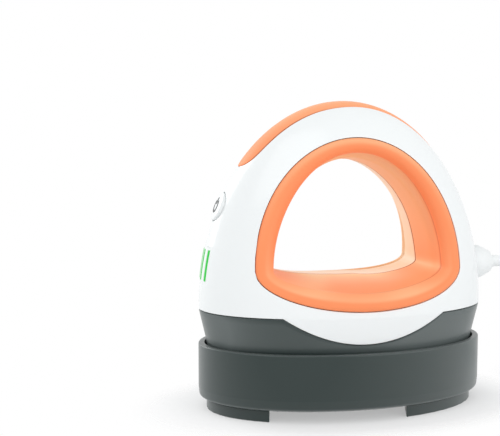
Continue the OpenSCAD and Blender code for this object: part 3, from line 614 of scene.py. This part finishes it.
# steps along each stretch of the shell's edge, across the shell and back within it, then how far each kind
# of edge is rolled and at what share of that its first point lies
shellSteps = {"right": 8, "relief": 20, "rightTop": 22, "strip": 36, "leftTop": 8, "button": 20, "window": 24,
              "left": 8, "corner": 15, "bib": 30, "across": 26, "within": 9, "fine": 160}
edgeRoll = {"plain": 0.06, "cut": 0.3, "flush": 0.01, "ring": 0.3, "hole": 0.12}
rollStart = 0.3


def holeEnds(side, centre, radius, tilt, count):
    # where the wall of a round hole meets the outer and the inner face, from its bottom to its top
    ends = []
    for k in range(count + 1):
        up, y = radius * cos(pi - pi * k / count), radius * sin(pi - pi * k / count)
        startX, startZ = centre[0] - side * up * sin(tilt), centre[2] + up * cos(tilt)
        pair = []
        for inside in (0, body["wall"]):
            z = startZ
            for again in range(8):  # the hole's wall slopes, so its height and the skin settle together
                z = startZ - (startX - side * skinX(z, y, inside)) * side * math.tan(tilt)
            pair.append((side * skinX(z, y, inside), z))
        ends.append(pair)
    return ends


def skinEnds(shares, halves):
    return [[(p[0], p[2]) for p in (skinPoint(s, h, 0.0), skinPoint(s, h, body["wall"]))]
            for s, h in zip(shares, halves)]


def plainEnds(side, low, high, count, keepsFirst):
    # the bare skin beside an opening: of its two end points the first or the last, as the opening has the other
    heights = np.linspace(low, high, count + 1)
    heights = heights[:-1] if keepsFirst else heights[1:]
    return skinEnds([shareAtHeight(side, z) for z in heights], [0.0] * count)


def bibEnds():
    half, bib = body["halfLength"], body["bibHalf"]
    corner = [mix(bib, half, sin(pi / 2 * k / shellSteps["corner"])) for k in range(1, shellSteps["corner"])]
    middle = [bib * k / shellSteps["bib"] for k in range(-shellSteps["bib"], shellSteps["bib"] + 1)]
    ends = []
    for x in [-x for x in corner[::-1]] + middle + corner:
        z = float(bibZ(x))
        wide = half - float(tuck(z))
        edge = max(-1.0, min(1.0, x / wide))
        ends.append([(edge * wide, z), (edge * (wide - body["wall"]), z)])
    return ends


def shellEnds():
    # round the front shell: right end, crown, left end and the bib, as (kind of edge, [outer, inner] points)
    seam, steps = body["seam"], shellSteps
    high = skinPoint(shareAtLength(strip["half"] + seam), 0.0)[2]
    reliefRadius, buttonHole = relief["diameter"] / 2 + seam, button["diameter"] / 2 + seam
    buttonTop = buttonZ + buttonHole * cos(buttonTilt)
    count = steps["strip"]
    pocket = [shareAtLength(strip["half"] * sin(pi / 2 * k / count)) for k in range(count, -count - 1, -1)]
    pocketHalves = [max(strip["tip"], stripHalf(s[0] * body["halfLength"])) + strip["gap"] for s in pocket]
    window = windowShares(steps["window"])
    windowHalves = [windowHalf(body["arris"] + body["domeHeight"] * s[1]) for s in window]
    stretches = [("plain", plainEnds(1, body["arris"], reliefZ - reliefRadius, steps["right"], True)),
                 ("cut", holeEnds(1, reliefPos, reliefRadius, 0, steps["relief"])),
                 ("plain", plainEnds(1, reliefZ + reliefRadius, high, steps["rightTop"], False)),
                 ("hole", skinEnds(pocket, pocketHalves)),
                 ("plain", plainEnds(-1, high, buttonTop, steps["leftTop"], True)),
                 ("hole", holeEnds(-1, buttonPos, buttonHole, buttonTilt, steps["button"])[::-1]),
                 ("flush", skinEnds(window, windowHalves)),
                 ("plain", plainEnds(-1, barsZ - windowTall, body["arris"], steps["left"], False)),
                 ("cut", bibEnds())]
    return [(kind, end) for kind, ends in stretches for end in ends]


def shellRow(kind, end):
    # outer face from the ring to the end, rolled edges, then the inner face back
    outer, inner = np.array(end[0]), np.array(end[1])
    start = np.array(ringPoint(atan2(outer[1] - ring["middle"], outer[0]), 0))
    fine, across, within = shellSteps["fine"], shellSteps["across"], shellSteps["within"]

    def at(share, inside):
        share, inside = np.asarray(share, float), np.asarray(inside, float)
        last = outer + (inner - outer) * inside[..., None] / body["wall"]
        p = start + (last - start) * share[..., None]
        return np.stack([p[..., 0], -depth(p[..., 0], p[..., 1], inside), p[..., 1]], -1)

    share = 1 - (1 - np.linspace(0, 1, fine)) ** 3
    run = runAlong(at(share, np.zeros(fine)))
    whole, near, far = run[-1], edgeRoll["ring"], edgeRoll[kind]

    def shareAt(distance):
        return np.interp(distance, run, share)

    outside = at(shareAt(np.linspace(near, whole - far, across)), np.zeros(across))
    startRoll = at(shareAt([0.0, rollStart * near]), [near, rollStart * near])
    endRoll = at(shareAt([whole - rollStart * far, whole]), [rollStart * far, far])
    inside = at(shareAt(np.linspace(whole, 0, within)), np.full(within, body["wall"]))
    return np.concatenate([startRoll, outside, endRoll, inside])


def mirrored(rows):
    return rows * np.array([1, -1, 1])


def evenShading(piece):
    # wide faces lead the shading, so the narrow ones round the openings draw no line across the skin
    weigh = piece.modifiers.new("weigh", "WEIGHTED_NORMAL")
    weigh.mode, weigh.weight, weigh.keep_sharp = "FACE_AREA", 50, True
    finishModifiers(piece)
    return piece


shellRows = np.array([shellRow(kind, end) for kind, end in shellEnds()])
frontShell = evenShading(gridPiece("frontShell", shellRows, angle=50))
rearShell = evenShading(gridPiece("rearShell", mirrored(shellRows), angle=50))
place(frontShell, "press", "white_plastic", "front_shell")
place(rearShell, "press", "white_plastic", "rear_shell")
print("shells made")

# ring and liner in section, as (inwards from the ring's outline, out from the skin there)
gripSection = {"face": [(0.25, 0.55), (0.36, 0.0), (0.85, -0.62), (1.9, -1.08), (3.1, -1.2), (4.5, -0.9),
                        (5.8, -0.1), (6.7, 0.95), (7.12, 1.75), (7.22, 2.25)],
               "step": [(7.18, 2.5), (6.5, 2.75), (6.25, 3.3)], "valley": [(6.55, 4.1), (7.1, 6.0)],
               "liner": [(0.5, 0.6), (0.78, 0.38), (0.95, 0.15)],  # shares of the liner's way in and depth
               "linerBack": (0.7, 0.45), "back": [(2.4, 4.2), (0.5, 3.2), (0.25, 3.0), (0.25, 1.6)],
               "groove": 0.24, "grooveDepth": 1.1, "rows": 220,
               "lipGrows": ((165, 25, 0.12), (132, 20, 0.15), (84, 26, -0.15)),
               "linerShrinks": ((94, 17, 1.5), (-14, 14, 1.2))}


def swell(angle, middle, spread, amount):
    # a soft bump round the ring, its middle and spread in degrees
    away = (math.degrees(angle) - middle + 180) % 360 - 180
    return amount * math.exp(-0.5 * (away / spread) ** 2)


def gripRow(angle):
    part, width, thin = gripSection, ring["width"], ring["linerWall"]
    s = float(depth(*ringPoint(angle, 0)))
    grow = 1 + sum(swell(angle, *values) for values in part["lipGrows"])
    wide = width + ring["linerIn"] - sum(swell(angle, *values) for values in part["linerShrinks"])
    faceLine, step, valley = ([(q * grow, d - s) for q, d in part[k]] for k in ("face", "step", "valley"))
    groove, base = part["groove"], wide - part["grooveDepth"]
    liner = valley + [(mix(width, wide, q), -s * d) for q, d in part["liner"]] + [(wide, -groove - 0.1)]
    across, down = part["linerBack"]
    back = [(wide - 0.1, -groove), (base, -groove), (base, 0), (wide - thin, 0),
            (mix(width, wide, across) - thin, -s * down), (width - thin, 4.6 - s)]
    back += [(q, d - s) for q, d in part["back"]]
    rows = []
    for q, y in np.concatenate([smoothLine(faceLine, 3), step, smoothLine(liner, 4), back]):
        x, z = ringPoint(angle, q)
        rows.append((x, y, z))
    return rows


# painted light on the ring and liner, from 0 to 2, lighter where faces turn up or to the rear, and painted
# shade in the lip's step and the middle groove; swells are (middle and spread in degrees, amount), spans are in
# mm
paintedRingShading = {"wall": 0.27, "crown": 0.48, "floor": 1.05, "lipShadow": 0.12, "floorLeft": (-172, 12, 0.6),
         "cornerGleam": (-1, 2.5, 0.42), "outerRoll": 0.4, "nose": 0.3, "noseLeft": (-168, 13, 0.3),
         "noseRight": (-20, 22, 0.24), "behind": 1.2, "lowFrom": (0.05, 0.42), "rearLining": (4.0, 5.4),
         "frontLining": (3.2, 6.0), "rollFades": (1.0, 3.5), "noseFrom": (3.3, 4.9), "stepFrom": (2.3, 2.6),
         "stepTo": (4.4, 5.1), "stepShade": 0.4, "groove": (0.3, 0.36)}
# painted light along the strip's middle and crown, and painted shade along its edges
paintedStripShading = {"pale": (0.12, 0.34), "crown": (108, 127), "middle": 1.3, "fall": 0.6, "edge": 0.9,
              "edgeLine": (0.3, 0.06), "edgeFades": (-30, 6)}


def setPaintedShading(piece, **tints):
    # a share of each tint of painted light and painted shade for each point, read by the orange finish
    for label, values in tints.items():
        piece.data.attributes.new(label, "FLOAT", "POINT").data.foreach_set("value", values)
    return piece


def inwardsOf(angle, radius):
    # how far inside the ring's outline a point at this angle and distance from its middle lies
    low, high = -1.0, 14.0
    for again in range(18):
        half = (low + high) / 2
        low, high = (half, high) if ringRadius(angle, half) > radius else (low, half)
    return low


def paintGripShading(piece, behind):
    # painted light round ring and liner, strongest on up-facing faces, the liner's floor and the rear liner,
    # and painted shade in the lip's step and the middle groove
    pale, shade, bright = [], [], []
    for vertex in piece.data.vertices:
        x, y, z = vertex.co / mm
        angle = atan2(z - ring["middle"], x)
        inwards = inwardsOf(angle, math.hypot(x, z - ring["middle"]))
        reach = float(depth(*ringPoint(angle, 0)))
        deep = reach - abs(y)
        lining = smoothStep(deep, *paintedRingShading["frontLining"])
        step = smoothStep(deep, *paintedRingShading["stepFrom"]) * (1 - smoothStep(deep, *paintedRingShading["stepTo"]))
        if behind:
            lining, step = smoothStep(inwards, *paintedRingShading["rearLining"]), 0
        up, low = max(0.0, sin(angle)), smoothStep(-sin(angle), *paintedRingShading["lowFrom"])
        inner = paintedRingShading["wall"] + paintedRingShading["crown"] * up + paintedRingShading["behind"] * behind
        inner += swell(angle, *paintedRingShading["cornerGleam"])
        inner += low * (paintedRingShading["floor"] * max(0.0, deep / reach) ** 2 - paintedRingShading["lipShadow"]
                        + swell(angle, *paintedRingShading["floorLeft"]))
        outer = paintedRingShading["outerRoll"] * up * up * (1 - smoothStep(inwards, *paintedRingShading["rollFades"]))
        ends = swell(angle, *paintedRingShading["noseRight"]) + swell(angle, *paintedRingShading["noseLeft"])
        outer += (paintedRingShading["nose"] * low + ends) * smoothStep(inwards, *paintedRingShading["noseFrom"])
        tone = mix(outer, inner, lining)
        pale.append(min(1.0, tone))
        bright.append(max(0.0, tone - 1))
        shade.append(max(paintedRingShading["stepShade"] * step, 1 - smoothStep(abs(y), *paintedRingShading["groove"])))
    return setPaintedShading(piece, pale=pale, shade=shade, bright=bright)


gripRows = np.array([gripRow(2 * pi * k / gripSection["rows"]) for k in range(gripSection["rows"])])
frontGrip = paintGripShading(gridPiece("frontGrip", gripRows, angle=50), False)
# the rear grip's liner gets more painted light, standing in for light from behind
rearGrip = paintGripShading(gridPiece("rearGrip", mirrored(gripRows), angle=50), True)
place(frontGrip, "press", "orange_plastic", "front_grip")
place(rearGrip, "press", "orange_plastic", "rear_grip")


def patchRows(shares, halves, bulge, thick, roll, across):
    # rows across a strip of the skin: the bulging outer line, rolled edges and the flat inner line back
    even = np.linspace(-1, 1, across)
    spread = mix(np.sin(even * pi / 2), even, 0.5)
    rows = []
    for share, half in zip(shares, halves):
        edge = max(half - roll, half * 0.5)
        outside = [skinPoint(share, edge * v, -bulge * (1 - v ** 4)) for v in spread]
        corner = [skinPoint(share, mix(edge, half, 0.7), rollStart * roll), skinPoint(share, half, roll)]
        inside = [skinPoint(share, half * v, thick) for v in (1, 0.5, 0, -0.5, -1)]
        other = [skinPoint(share, -half, roll), skinPoint(share, -mix(edge, half, 0.7), rollStart * roll)]
        rows.append(outside + corner + inside + other)
    return np.array(rows)


def paintStripShading(piece):
    # painted light along the middle and over the crown, with painted shade of the gap along the edges
    pale, shade = [], []
    for vertex in piece.data.vertices:
        x, y, z = vertex.co / mm
        up = (z - body["arris"]) / body["domeHeight"]
        half = max(strip["tip"], stripHalf(x / math.hypot(x / body["halfLength"], up)))
        crown = mix(*paintedStripShading["pale"], smoothStep(z, *paintedStripShading["crown"]))
        pale.append(crown * (paintedStripShading["middle"] - paintedStripShading["fall"] * min(1.0, abs(y) / half) ** 2))
        line = smoothStep(abs(y), *(half - v for v in paintedStripShading["edgeLine"]))
        shade.append(paintedStripShading["edge"] * line * (1 - smoothStep(x, *paintedStripShading["edgeFades"])))
    return setPaintedShading(piece, pale=pale, shade=shade)


stripTurns = [pi / 2 * k / strip["steps"] for k in range(strip["steps"], -strip["steps"] - 1, -1)]
stripShares = [shareAtLength(strip["half"] * sin(t)) for t in stripTurns]
stripHalves = [max(strip["tip"], stripHalf(s[0] * body["halfLength"])) for s in stripShares]
stripRows = patchRows(stripShares, stripHalves, strip["proud"], body["wall"], strip["roll"], strip["across"])
topStrip = paintStripShading(gridPiece("topStrip", stripRows, capped=True, angle=50))
place(topStrip, "press", "orange_plastic", "top_strip")
print("grips and strip made")

# the skirt in section, as (inside its outer face, share of the way down or a height, drop below it)
skirtSection = [(2.2, 0, 0.0), (0.32, 0, 0.0), (0.1, 0, 0.09), (0.0, 0, 0.32)]
skirtSection += [(0.0, k / 6, 0.0) for k in (1, 2, 3, 4, 5)] + [(0.0, 0.99, 0.0)]
skirtSection += [(0.0, skirtZ, v) for v in (9, 6, 3, 1)] + [(0.3, skirtZ, 0.3), (0.9, skirtZ, 0.0)]
skirtSection += [(2.2, skirtZ, 0.0), (2.2, 0.99, 0.0), (2.2, 0.5, 0.0)]
skirt = {"gap": 0.15, "turns": 240}


def aroundPlan(count):
    # angles round the oval plan, with the corners of the bib among them
    kink = math.acos(body["bibHalf"] / body["halfLength"])
    turns = set(round(2 * pi * k / count, 6) for k in range(count))
    for corner in (kink, pi - kink, pi + kink, 2 * pi - kink):
        near = min(turns, key=lambda t: abs(t - corner))
        turns.discard(near)
        turns.add(round(corner, 6))
    return sorted(turns)


def skirtPoint(turn, inside, down, drop):
    flat = body["halfLength"] * cos(turn)
    x = flat * (1 - float(tuck(bibZ(flat))) / body["halfLength"])
    top = float(bibZ(x)) - body["seam"] - skirt["gap"]
    z = mix(top, rim, down) - drop if down < 1 else down + drop
    t = float(tuck(z)) + inside
    return (body["halfLength"] - t) * cos(turn), (body["halfWidth"] - t) * sin(turn), z


skirtRows = [[skirtPoint(turn, *values) for values in skirtSection] for turn in aroundPlan(skirt["turns"])]
lowerHousing = gridPiece("lowerHousing", skirtRows, angle=45)
place(lowerHousing, "press", "slate_plastic", "lower_housing", look="slate_skirt")

# the tray in section from its foot over the rim to its floor, as (inwards, height, radius of the corner)
traySection = [(3.2, dock["under"], 0.5), (0.35, dock["under"] + 1.2, 1.6), (0, dock["under"] + 5, 1.5),
               (0, rim, 0.75), (dock["wall"], rim, 0.4), (dock["wall"], matZ, 1.3),
               (dock["wall"] + 8, matZ, 0)]
tray = {"grow": dock["gap"] + dock["wall"] - body["skirtIn"], "underside": 14, "turns": 240}


def filleted(corners, steps=5):
    # a line of corners, each (inwards, height, radius), with its corners rounded
    points = [np.array(corners[0][:2])]
    for before, here, after in zip(corners, corners[1:], corners[2:]):
        a, b, c = (np.array(p[:2], float) for p in (before, here, after))
        toA, toC = (a - b) / np.linalg.norm(a - b), (c - b) / np.linalg.norm(c - b)
        half = math.acos(max(-1, min(1, float(toA @ toC)))) / 2
        cut = here[2] / math.tan(half)
        cut = min(cut, 0.48 * np.linalg.norm(a - b), 0.48 * np.linalg.norm(c - b))
        first, last = b + toA * cut, b + toC * cut
        points += [(1 - t) ** 2 * first + 2 * t * (1 - t) * b + t * t * last
                   for t in np.linspace(0, 1, steps)]
    return points + [np.array(corners[-1][:2], float)]


def trayRows():
    # one row round the oval for each point of the section
    long, wide = body["halfLength"] + tray["grow"], body["halfWidth"] + tray["grow"]
    turns = np.linspace(0, 2 * pi, tray["turns"], endpoint=False)
    return [[((long - i) * cos(t), (wide - i) * sin(t), z) for t in turns]
            for i, z in [(tray["underside"], dock["under"])] + filleted(traySection)]


place(gridPiece("dockTray", trayRows(), capped=True), "dock", "slate_plastic", "dock_tray")
place(polishedCopy("dock_feet", "dockFeet", bevel=0.45), "dock", "slate_plastic", "dock_feet")
place(polishedCopy("dock_mat", "dockMat", bevel=0.3), "dock", "grey_silicone", "dock_mat")
print("dock and skirt made")


def lathePiece(name, profile, centre, axis, angle, steps=72):
    # profile is (radius, distance along the axis) from one end to the other
    along = Vector(axis).normalized()
    v = along.cross(Vector((0, 1, 0))).normalized()
    u = v.cross(along)
    spokes = [u * cos(2 * pi * k / steps) + v * sin(2 * pi * k / steps) for k in range(steps)]
    rows = [[Vector(centre) + spoke * r + along * d for spoke in spokes] for r, d in profile]
    return gridPiece(name, rows, capped=True, angle=angle)


buttonRadius = button["diameter"] / 2 - button["clearance"]
buttonAxis = (-cos(buttonTilt), 0, sin(buttonTilt))
flangeGrow, flangeTop, flangeFoot = button["flange"]
buttonProfile = [(buttonRadius * sin(t), button["edge"] + button["crown"] * cos(t))
                 for t in np.linspace(0.02, 1.42, 12)]
buttonProfile += [(buttonRadius - 0.03, 0.22), (buttonRadius, 0.0), (buttonRadius, -1.5),
                  (buttonRadius, flangeTop), (buttonRadius + flangeGrow, flangeTop),
                  (buttonRadius + flangeGrow, flangeFoot), (button["stem"][0], flangeFoot), button["stem"]]
powerButton = lathePiece("powerButton", buttonProfile, buttonPos, buttonAxis, 30)
place(powerButton, "button", "white_plastic", "power_button")

# open ring and upright stroke of a plain power mark; top is the share of the line's width that stays flat
powerMark = {"radius": 2.6, "opening": 40, "line": 1.12, "stroke": (0.6, 3.6), "lift": 0.12, "sink": 0.3,
             "top": 0.8, "arcPoints": 40, "strokePoints": 6}


def buttonFacePoint(across, up, lift):
    # point over the button's face: across is along Y, up is up the dome
    r = math.hypot(across, up)
    height = button["edge"] + button["crown"] * sqrt(max(0, 1 - (r / buttonRadius) ** 2)) + lift
    upWay = Vector((sin(buttonTilt), 0, cos(buttonTilt)))
    return Vector(buttonPos) + Vector(buttonAxis) * height + upWay * up + Vector((0, 1, 0)) * across


def markRows(line):
    # a flat ribbon laid on the button's face along a line of (across, up)
    line = np.array(line)
    way = np.gradient(line, axis=0)
    way /= np.linalg.norm(way, axis=1)[:, None]
    side = np.stack([-way[:, 1], way[:, 0]], 1) * powerMark["line"] / 2
    top, lift, sink = powerMark["top"], powerMark["lift"], powerMark["sink"]
    section = [(top, lift), (-top, lift), (-1, 0.0), (-1, -sink), (1, -sink), (1, 0.0)]
    return [[buttonFacePoint(*(p + s * out), h) for out, h in section] for p, s in zip(line, side)]


opening = radians(powerMark["opening"])
arc = [(powerMark["radius"] * sin(t), powerMark["radius"] * cos(t))
       for t in np.linspace(opening, 2 * pi - opening, powerMark["arcPoints"])]
stroke = [(0, v) for v in np.linspace(*powerMark["stroke"], powerMark["strokePoints"])]
for name, line in (("powerMarkArc", arc), ("powerMarkStroke", stroke)):
    place(gridPiece(name, markRows(line), capped=True, angle=30), "button", "black_plastic")


def panelX(z, back):
    # the panel board stands square to the button's axis, this far behind its face
    return buttonPos[0] + (back + (z - buttonZ) * sin(buttonTilt)) / cos(buttonTilt)


# slices up a light guide, and its rounded front edge as (back from the front, share of the half width)
guide = {"slices": (-1, -0.97, -0.9, -0.6, -0.2, 0.2, 0.6, 0.9, 0.97, 1),
         "edge": ((0.18, 1), (0.03, 0.82), (0, 0.5)), "end": 0.16}


def barRows(middleY, grow, proud, inner):
    # one light guide: slices up its height, each a rounded box from the skin inwards
    half, tall = bars["width"] / 2 + grow, bars["height"] / 2 + grow
    rows = []
    for f in guide["slices"]:
        z = barsZ + tall * f
        front = float(skinPoint(shareAtHeight(-1, z), middleY, 0.0)[0]) - proud
        front += guide["end"] if abs(f) == 1 else 0.0
        edge = [(front + back, half * share) for back, share in guide["edge"]]
        loop = [(x, -y) for x, y in edge] + edge[::-1] + [(inner(z), half), (inner(z), -half)]
        rows.append([(x, middleY + y, z) for x, y in loop])
    return rows


def threeBars(name, grow, proud, inner):
    return [gridPiece(name, barRows(k * bars["pitch"], grow, proud, inner), capped=True, angle=30)
            for k in (-1, 0, 1)]


def makeBarFrame():
    # the window's pane, flush with the skin, with the three light guides' slots cut through it
    inside = bars["windowGap"]
    shares = windowShares(bars["steps"], inside)
    halves = [max(0.5, windowHalf(body["arris"] + body["domeHeight"] * s[1], inside)) for s in shares]
    rows = patchRows(shares, halves, 0.0, body["wall"], inside, bars["across"])
    piece = gridPiece("barFrame", rows, capped=True, angle=50)
    for cutter in threeBars("barSlot", bars["grow"] + bars["slotGap"], bars["slotFrom"],
                            lambda z: buttonPos[0] + bars["slotBack"]):
        slotCut = piece.modifiers.new("slot", "BOOLEAN")
        slotCut.object, slotCut.operation, slotCut.solver = cutter, "DIFFERENCE", "EXACT"
        finishModifiers(piece)
        selectOnly(cutter)
        bpy.ops.object.delete()
    smoothUnder(piece, 50)
    return piece


place(makeBarFrame(), "press", "white_plastic", "bar_frame")
lightBars = threeBars("lightBar", bars["grow"], bars["proud"], lambda z: panelX(z, bars["back"]))
place(joined("lightBars", lightBars), "press", "green_light", "light_bars")
print("controls made")

# the boss's shoulder as (from its radius, from the skin), its waist as (share of the way to the tip's radius,
# from the skin), its nose as (from the tip's radius, from the end) and its bore as (radius, from the end)
boss = {"flange": (1.2, 1.4), "shoulder": [(0, 0), (-0.02, 1.6), (-0.2, 2.8)], "waist": (0.35, 4.2),
        "nose": [(0.6, -2.2), (0.1, -1.1), (-0.25, -0.4), (-0.8, -0.05), (-1.8, 0)], "bore": (2.6, -0.05)}
sleeve = {"end": 84.5, "into": 1.2, "radii": (2.7, 2.25), "lip": 2.1, "rib": 0.12, "rings": 46,
          "ribbed": range(4, 40), "perRib": 3, "sides": 24}


def makeStrainRelief():
    radius, tip = relief["diameter"] / 2, relief["tip"] / 2
    inner = float(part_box("strain_relief")[0][0]) / mm
    skin, end = float(reliefPos[0]), float(reliefPos[0]) + relief["out"]
    (grow, thick), (waist, waistUp), (bore, boreUp) = boss["flange"], boss["waist"], boss["bore"]
    profile = [(0.05, inner), (radius + grow, inner), (radius + grow, inner + thick), (radius, inner + thick)]
    profile += [(radius + r, skin + d) for r, d in boss["shoulder"]]
    profile += [(mix(radius, tip, waist), skin + waistUp)]
    profile += [(tip + r, end + d) for r, d in boss["nose"]] + [(bore, end + boreUp)]
    line = evenly(cordPath[cordPath[:, 0] < sleeve["end"]], sleeve["rings"])
    line[0, 0] -= sleeve["into"]
    radii = np.linspace(*sleeve["radii"], sleeve["rings"])
    for k in sleeve["ribbed"]:
        radii[k] -= sleeve["rib"] if k // sleeve["perRib"] % 2 else 0.0
    radii[-1] = sleeve["lip"]
    return joined("strainRelief", [
        lathePiece("strainBoss", profile, (0, 0, reliefZ), (1, 0, 0), 35),
        gridPiece("strainSleeve", tubeRows(line, radii, sleeve["sides"]), capped=True, angle=35)])


place(makeStrainRelief(), "press", "white_rubber", "strain_relief")

tie = {"thickness": 0.6, "halfWidth": 3.0, "edge": (0.15, 0.3), "corner": 2.6, "perCorner": 8}


def makeCordTie():
    # a strap with rounded corners and edges, round the coil's turns where the frame's tie lies
    low, high = (np.array(v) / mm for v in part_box("cord_tie"))
    middle, half, tall = (low + high) / 2, (high[0] - low[0]) / 2, (high[2] - low[2]) / 2
    thick, wide, (rollIn, rollOut) = tie["thickness"], tie["halfWidth"], tie["edge"]
    side = [(0.0, wide - rollOut), (rollIn, wide), (thick - rollIn, wide), (thick, wide - rollOut)]
    section = [(0.0, rollOut - wide)] + side + [(d, -y) for d, y in side[:0:-1]]
    rows = []
    for quarter, (sideX, sideZ) in enumerate(((1, 1), (-1, 1), (-1, -1), (1, -1))):
        for k in range(tie["perCorner"] + 1):
            a = pi / 2 * (quarter + k / tie["perCorner"])
            x = middle[0] + sideX * (half - tie["corner"]) + tie["corner"] * cos(a)
            z = middle[2] + sideZ * (tall - tie["corner"]) + tie["corner"] * sin(a)
            rows.append([(x - cos(a) * d, middle[1] + y, z - sin(a) * d) for d, y in section])
    return gridPiece("cordTie", rows)


# plug in slices, as (distance along, half width, half height, squareness), with fine grip ribs in the middle
plugSections = [(0, 3.2, 3.2, 2), (0.5, 4.3, 4.3, 2), (1.4, 4.9, 4.9, 2), (4.6, 5.0, 5.0, 2),
                (6.4, 6.3, 5.9, 2.2), (8.2, 8.3, 6.9, 2.8), (10.2, 9.5, 7.6, 3.6), (12, 9.9, 7.9, 4.2)]
plugSections += [(12.6 + k * 0.7, 9.95 if k % 2 else 9.6, 7.95 if k % 2 else 7.75, 4.4) for k in range(15)]
plugSections += [(23.6, 10, 8, 4.6), (26.6, 10, 8, 5), (27.4, 9.8, 7.8, 5), (27.85, 9.3, 7.3, 5),
                 (28, 8.6, 6.6, 5)]
plugSides = 48


def makePlug():
    turns = [2 * pi * k / plugSides for k in range(plugSides)]
    rows = [[(plug["x"] + along, plug["y"] + wide * signedPower(cos(t), 2 / power),
              plug["z"] + high * signedPower(sin(t), 2 / power)) for t in turns]
            for along, wide, high, power in plugSections]
    return gridPiece("plugBody", rows, capped=True)


cordTie = place(makeCordTie(), "dock", "black_plastic", "cord_tie")
plugBody = place(makePlug(), "dock", "white_rubber", "plug_body")
plugBlades = place(polishedCopy("plug_blades", "plugBlades", bevel=0.3), "dock", "brass", "plug_blades")
print("strain relief, tie and plug made")

heatPlate = polishedCopy("heat_plate", "heatPlate", bevel=0.4)
place(heatPlate, "press", "coated_aluminium", "heat_plate")
slots = {part["node"]: part["material_slot"] for part in frame["record"]["subparts"]}
for nodeName, nodeObject in frame["nodes"].items():
    nodeObject.data.materials.clear()
    nodeObject.data.materials.append(finishes[slots[nodeName]])
print("inner pieces dressed")

# shaded are ovals under the object, as (middle, half sizes) in metres; the floor fades out beyond them
room = {"floorHalf": 0.9, "floorColour": (0.97, 0.97, 0.975), "floorRoughness": 0.9,
        "fadeFrom": 1.03, "fadeTo": 1.5, "fadeLeast": 0.4,
        "shaded": [((0, 0), (0.0645, 0.037)), ((0.165, -0.004), (0.06, 0.05)),
                   ((0.235, -0.024), (0.036, 0.02))],
        "ambient": 0.69, "ambientColour": (0.98, 0.992, 1, 1), "white": (1, 1, 1, 1)}
lamps = {"key": {"at": (-0.4, -0.45, 0.8), "size": (0.7, 0.7), "watts": 1.93},
         "fill": {"at": (0.5, -0.65, 0.35), "size": (0.7, 0.5), "watts": 1.62},
         "leftBack": {"at": (-0.5, 0.55, 0.4), "size": (0.4, 0.5), "watts": 1.9}}
lampTarget = (0, 0, 0.06)


def shownRays(tree):
    # 1 for what the camera sees, straight, in a gloss or through glass, and 0 for light on its way
    rays = tree.nodes.new("ShaderNodeLightPath").outputs
    bent = mathNode(tree, "MAXIMUM", rays["Is Glossy Ray"], rays["Is Transmission Ray"])
    return mathNode(tree, "MAXIMUM", rays["Is Camera Ray"], bent)


def addFloor():
    # clear to the eye away from the object, where the white behind shows through, and shadowed close to it
    deselectAll()
    bpy.ops.mesh.primitive_grid_add(x_subdivisions=8, y_subdivisions=8, size=2 * room["floorHalf"],
                                    location=(0, 0, 0))
    floor = bpy.context.object
    floor.name = "paleFloor"
    material, tree, surface = newMaterial("paleFloor")
    feed(tree, surface, {"Base Color": (*room["floorColour"], 1), "Roughness": room["floorRoughness"],
                         "Specular IOR Level": 0.0})
    where, nearest = tree.nodes.new("ShaderNodeTexCoord").outputs["Object"], None
    for middle, half in room["shaded"]:
        oval, distance = tree.nodes.new("ShaderNodeMapping"), tree.nodes.new("ShaderNodeVectorMath")
        oval.vector_type, distance.operation = "TEXTURE", "LENGTH"
        feed(tree, oval, {"Vector": where, "Location": (*middle, 0), "Scale": (*half, 1)})
        away = feed(tree, distance, {0: oval.outputs[0]}).outputs["Value"]
        nearest = mathNode(tree, "MINIMUM", nearest, away) if nearest else away
    fade = tree.nodes.new("ShaderNodeMapRange")
    fade.interpolation_type = "SMOOTHSTEP"
    feed(tree, fade, {"Value": nearest, "From Min": room["fadeFrom"], "From Max": room["fadeTo"],
                      "To Min": room["fadeLeast"]})
    seen = mathNode(tree, "MULTIPLY", fade.outputs["Result"], shownRays(tree))
    shown = mixShaders(tree, seen, surface, tree.nodes.new("ShaderNodeBsdfTransparent"))
    tree.links.new(shown, tree.nodes["Material Output"].inputs["Surface"])
    floor.data.materials.append(material)


def lightWorld():
    # plain white where the camera sees it, and a soft even light on the object
    world = bpy.context.scene.world or bpy.data.worlds.new("room")
    bpy.context.scene.world = world
    world.use_nodes = True
    tree = world.node_tree
    tree.nodes.clear()
    ambient, white = tree.nodes.new("ShaderNodeBackground"), tree.nodes.new("ShaderNodeBackground")
    feed(tree, ambient, {"Color": room["ambientColour"], "Strength": room["ambient"]})
    feed(tree, white, {"Color": room["white"]})
    feed(tree, tree.nodes.new("ShaderNodeOutputWorld"),
         {"Surface": mixShaders(tree, shownRays(tree), ambient, white)})


def addLamps():
    for name, values in lamps.items():
        towards = Vector(lampTarget) - Vector(values["at"])
        bpy.ops.object.light_add(type="AREA", location=values["at"],
                                 rotation=towards.to_track_quat("-Z", "Y").to_euler())
        lamp = bpy.context.object
        lamp.name = name + "Lamp"
        lamp.data.shape, lamp.data.energy = "RECTANGLE", values["watts"]
        lamp.data.size, lamp.data.size_y = values["size"]


addFloor()
lightWorld()
addLamps()
print("floor and lamps placed")
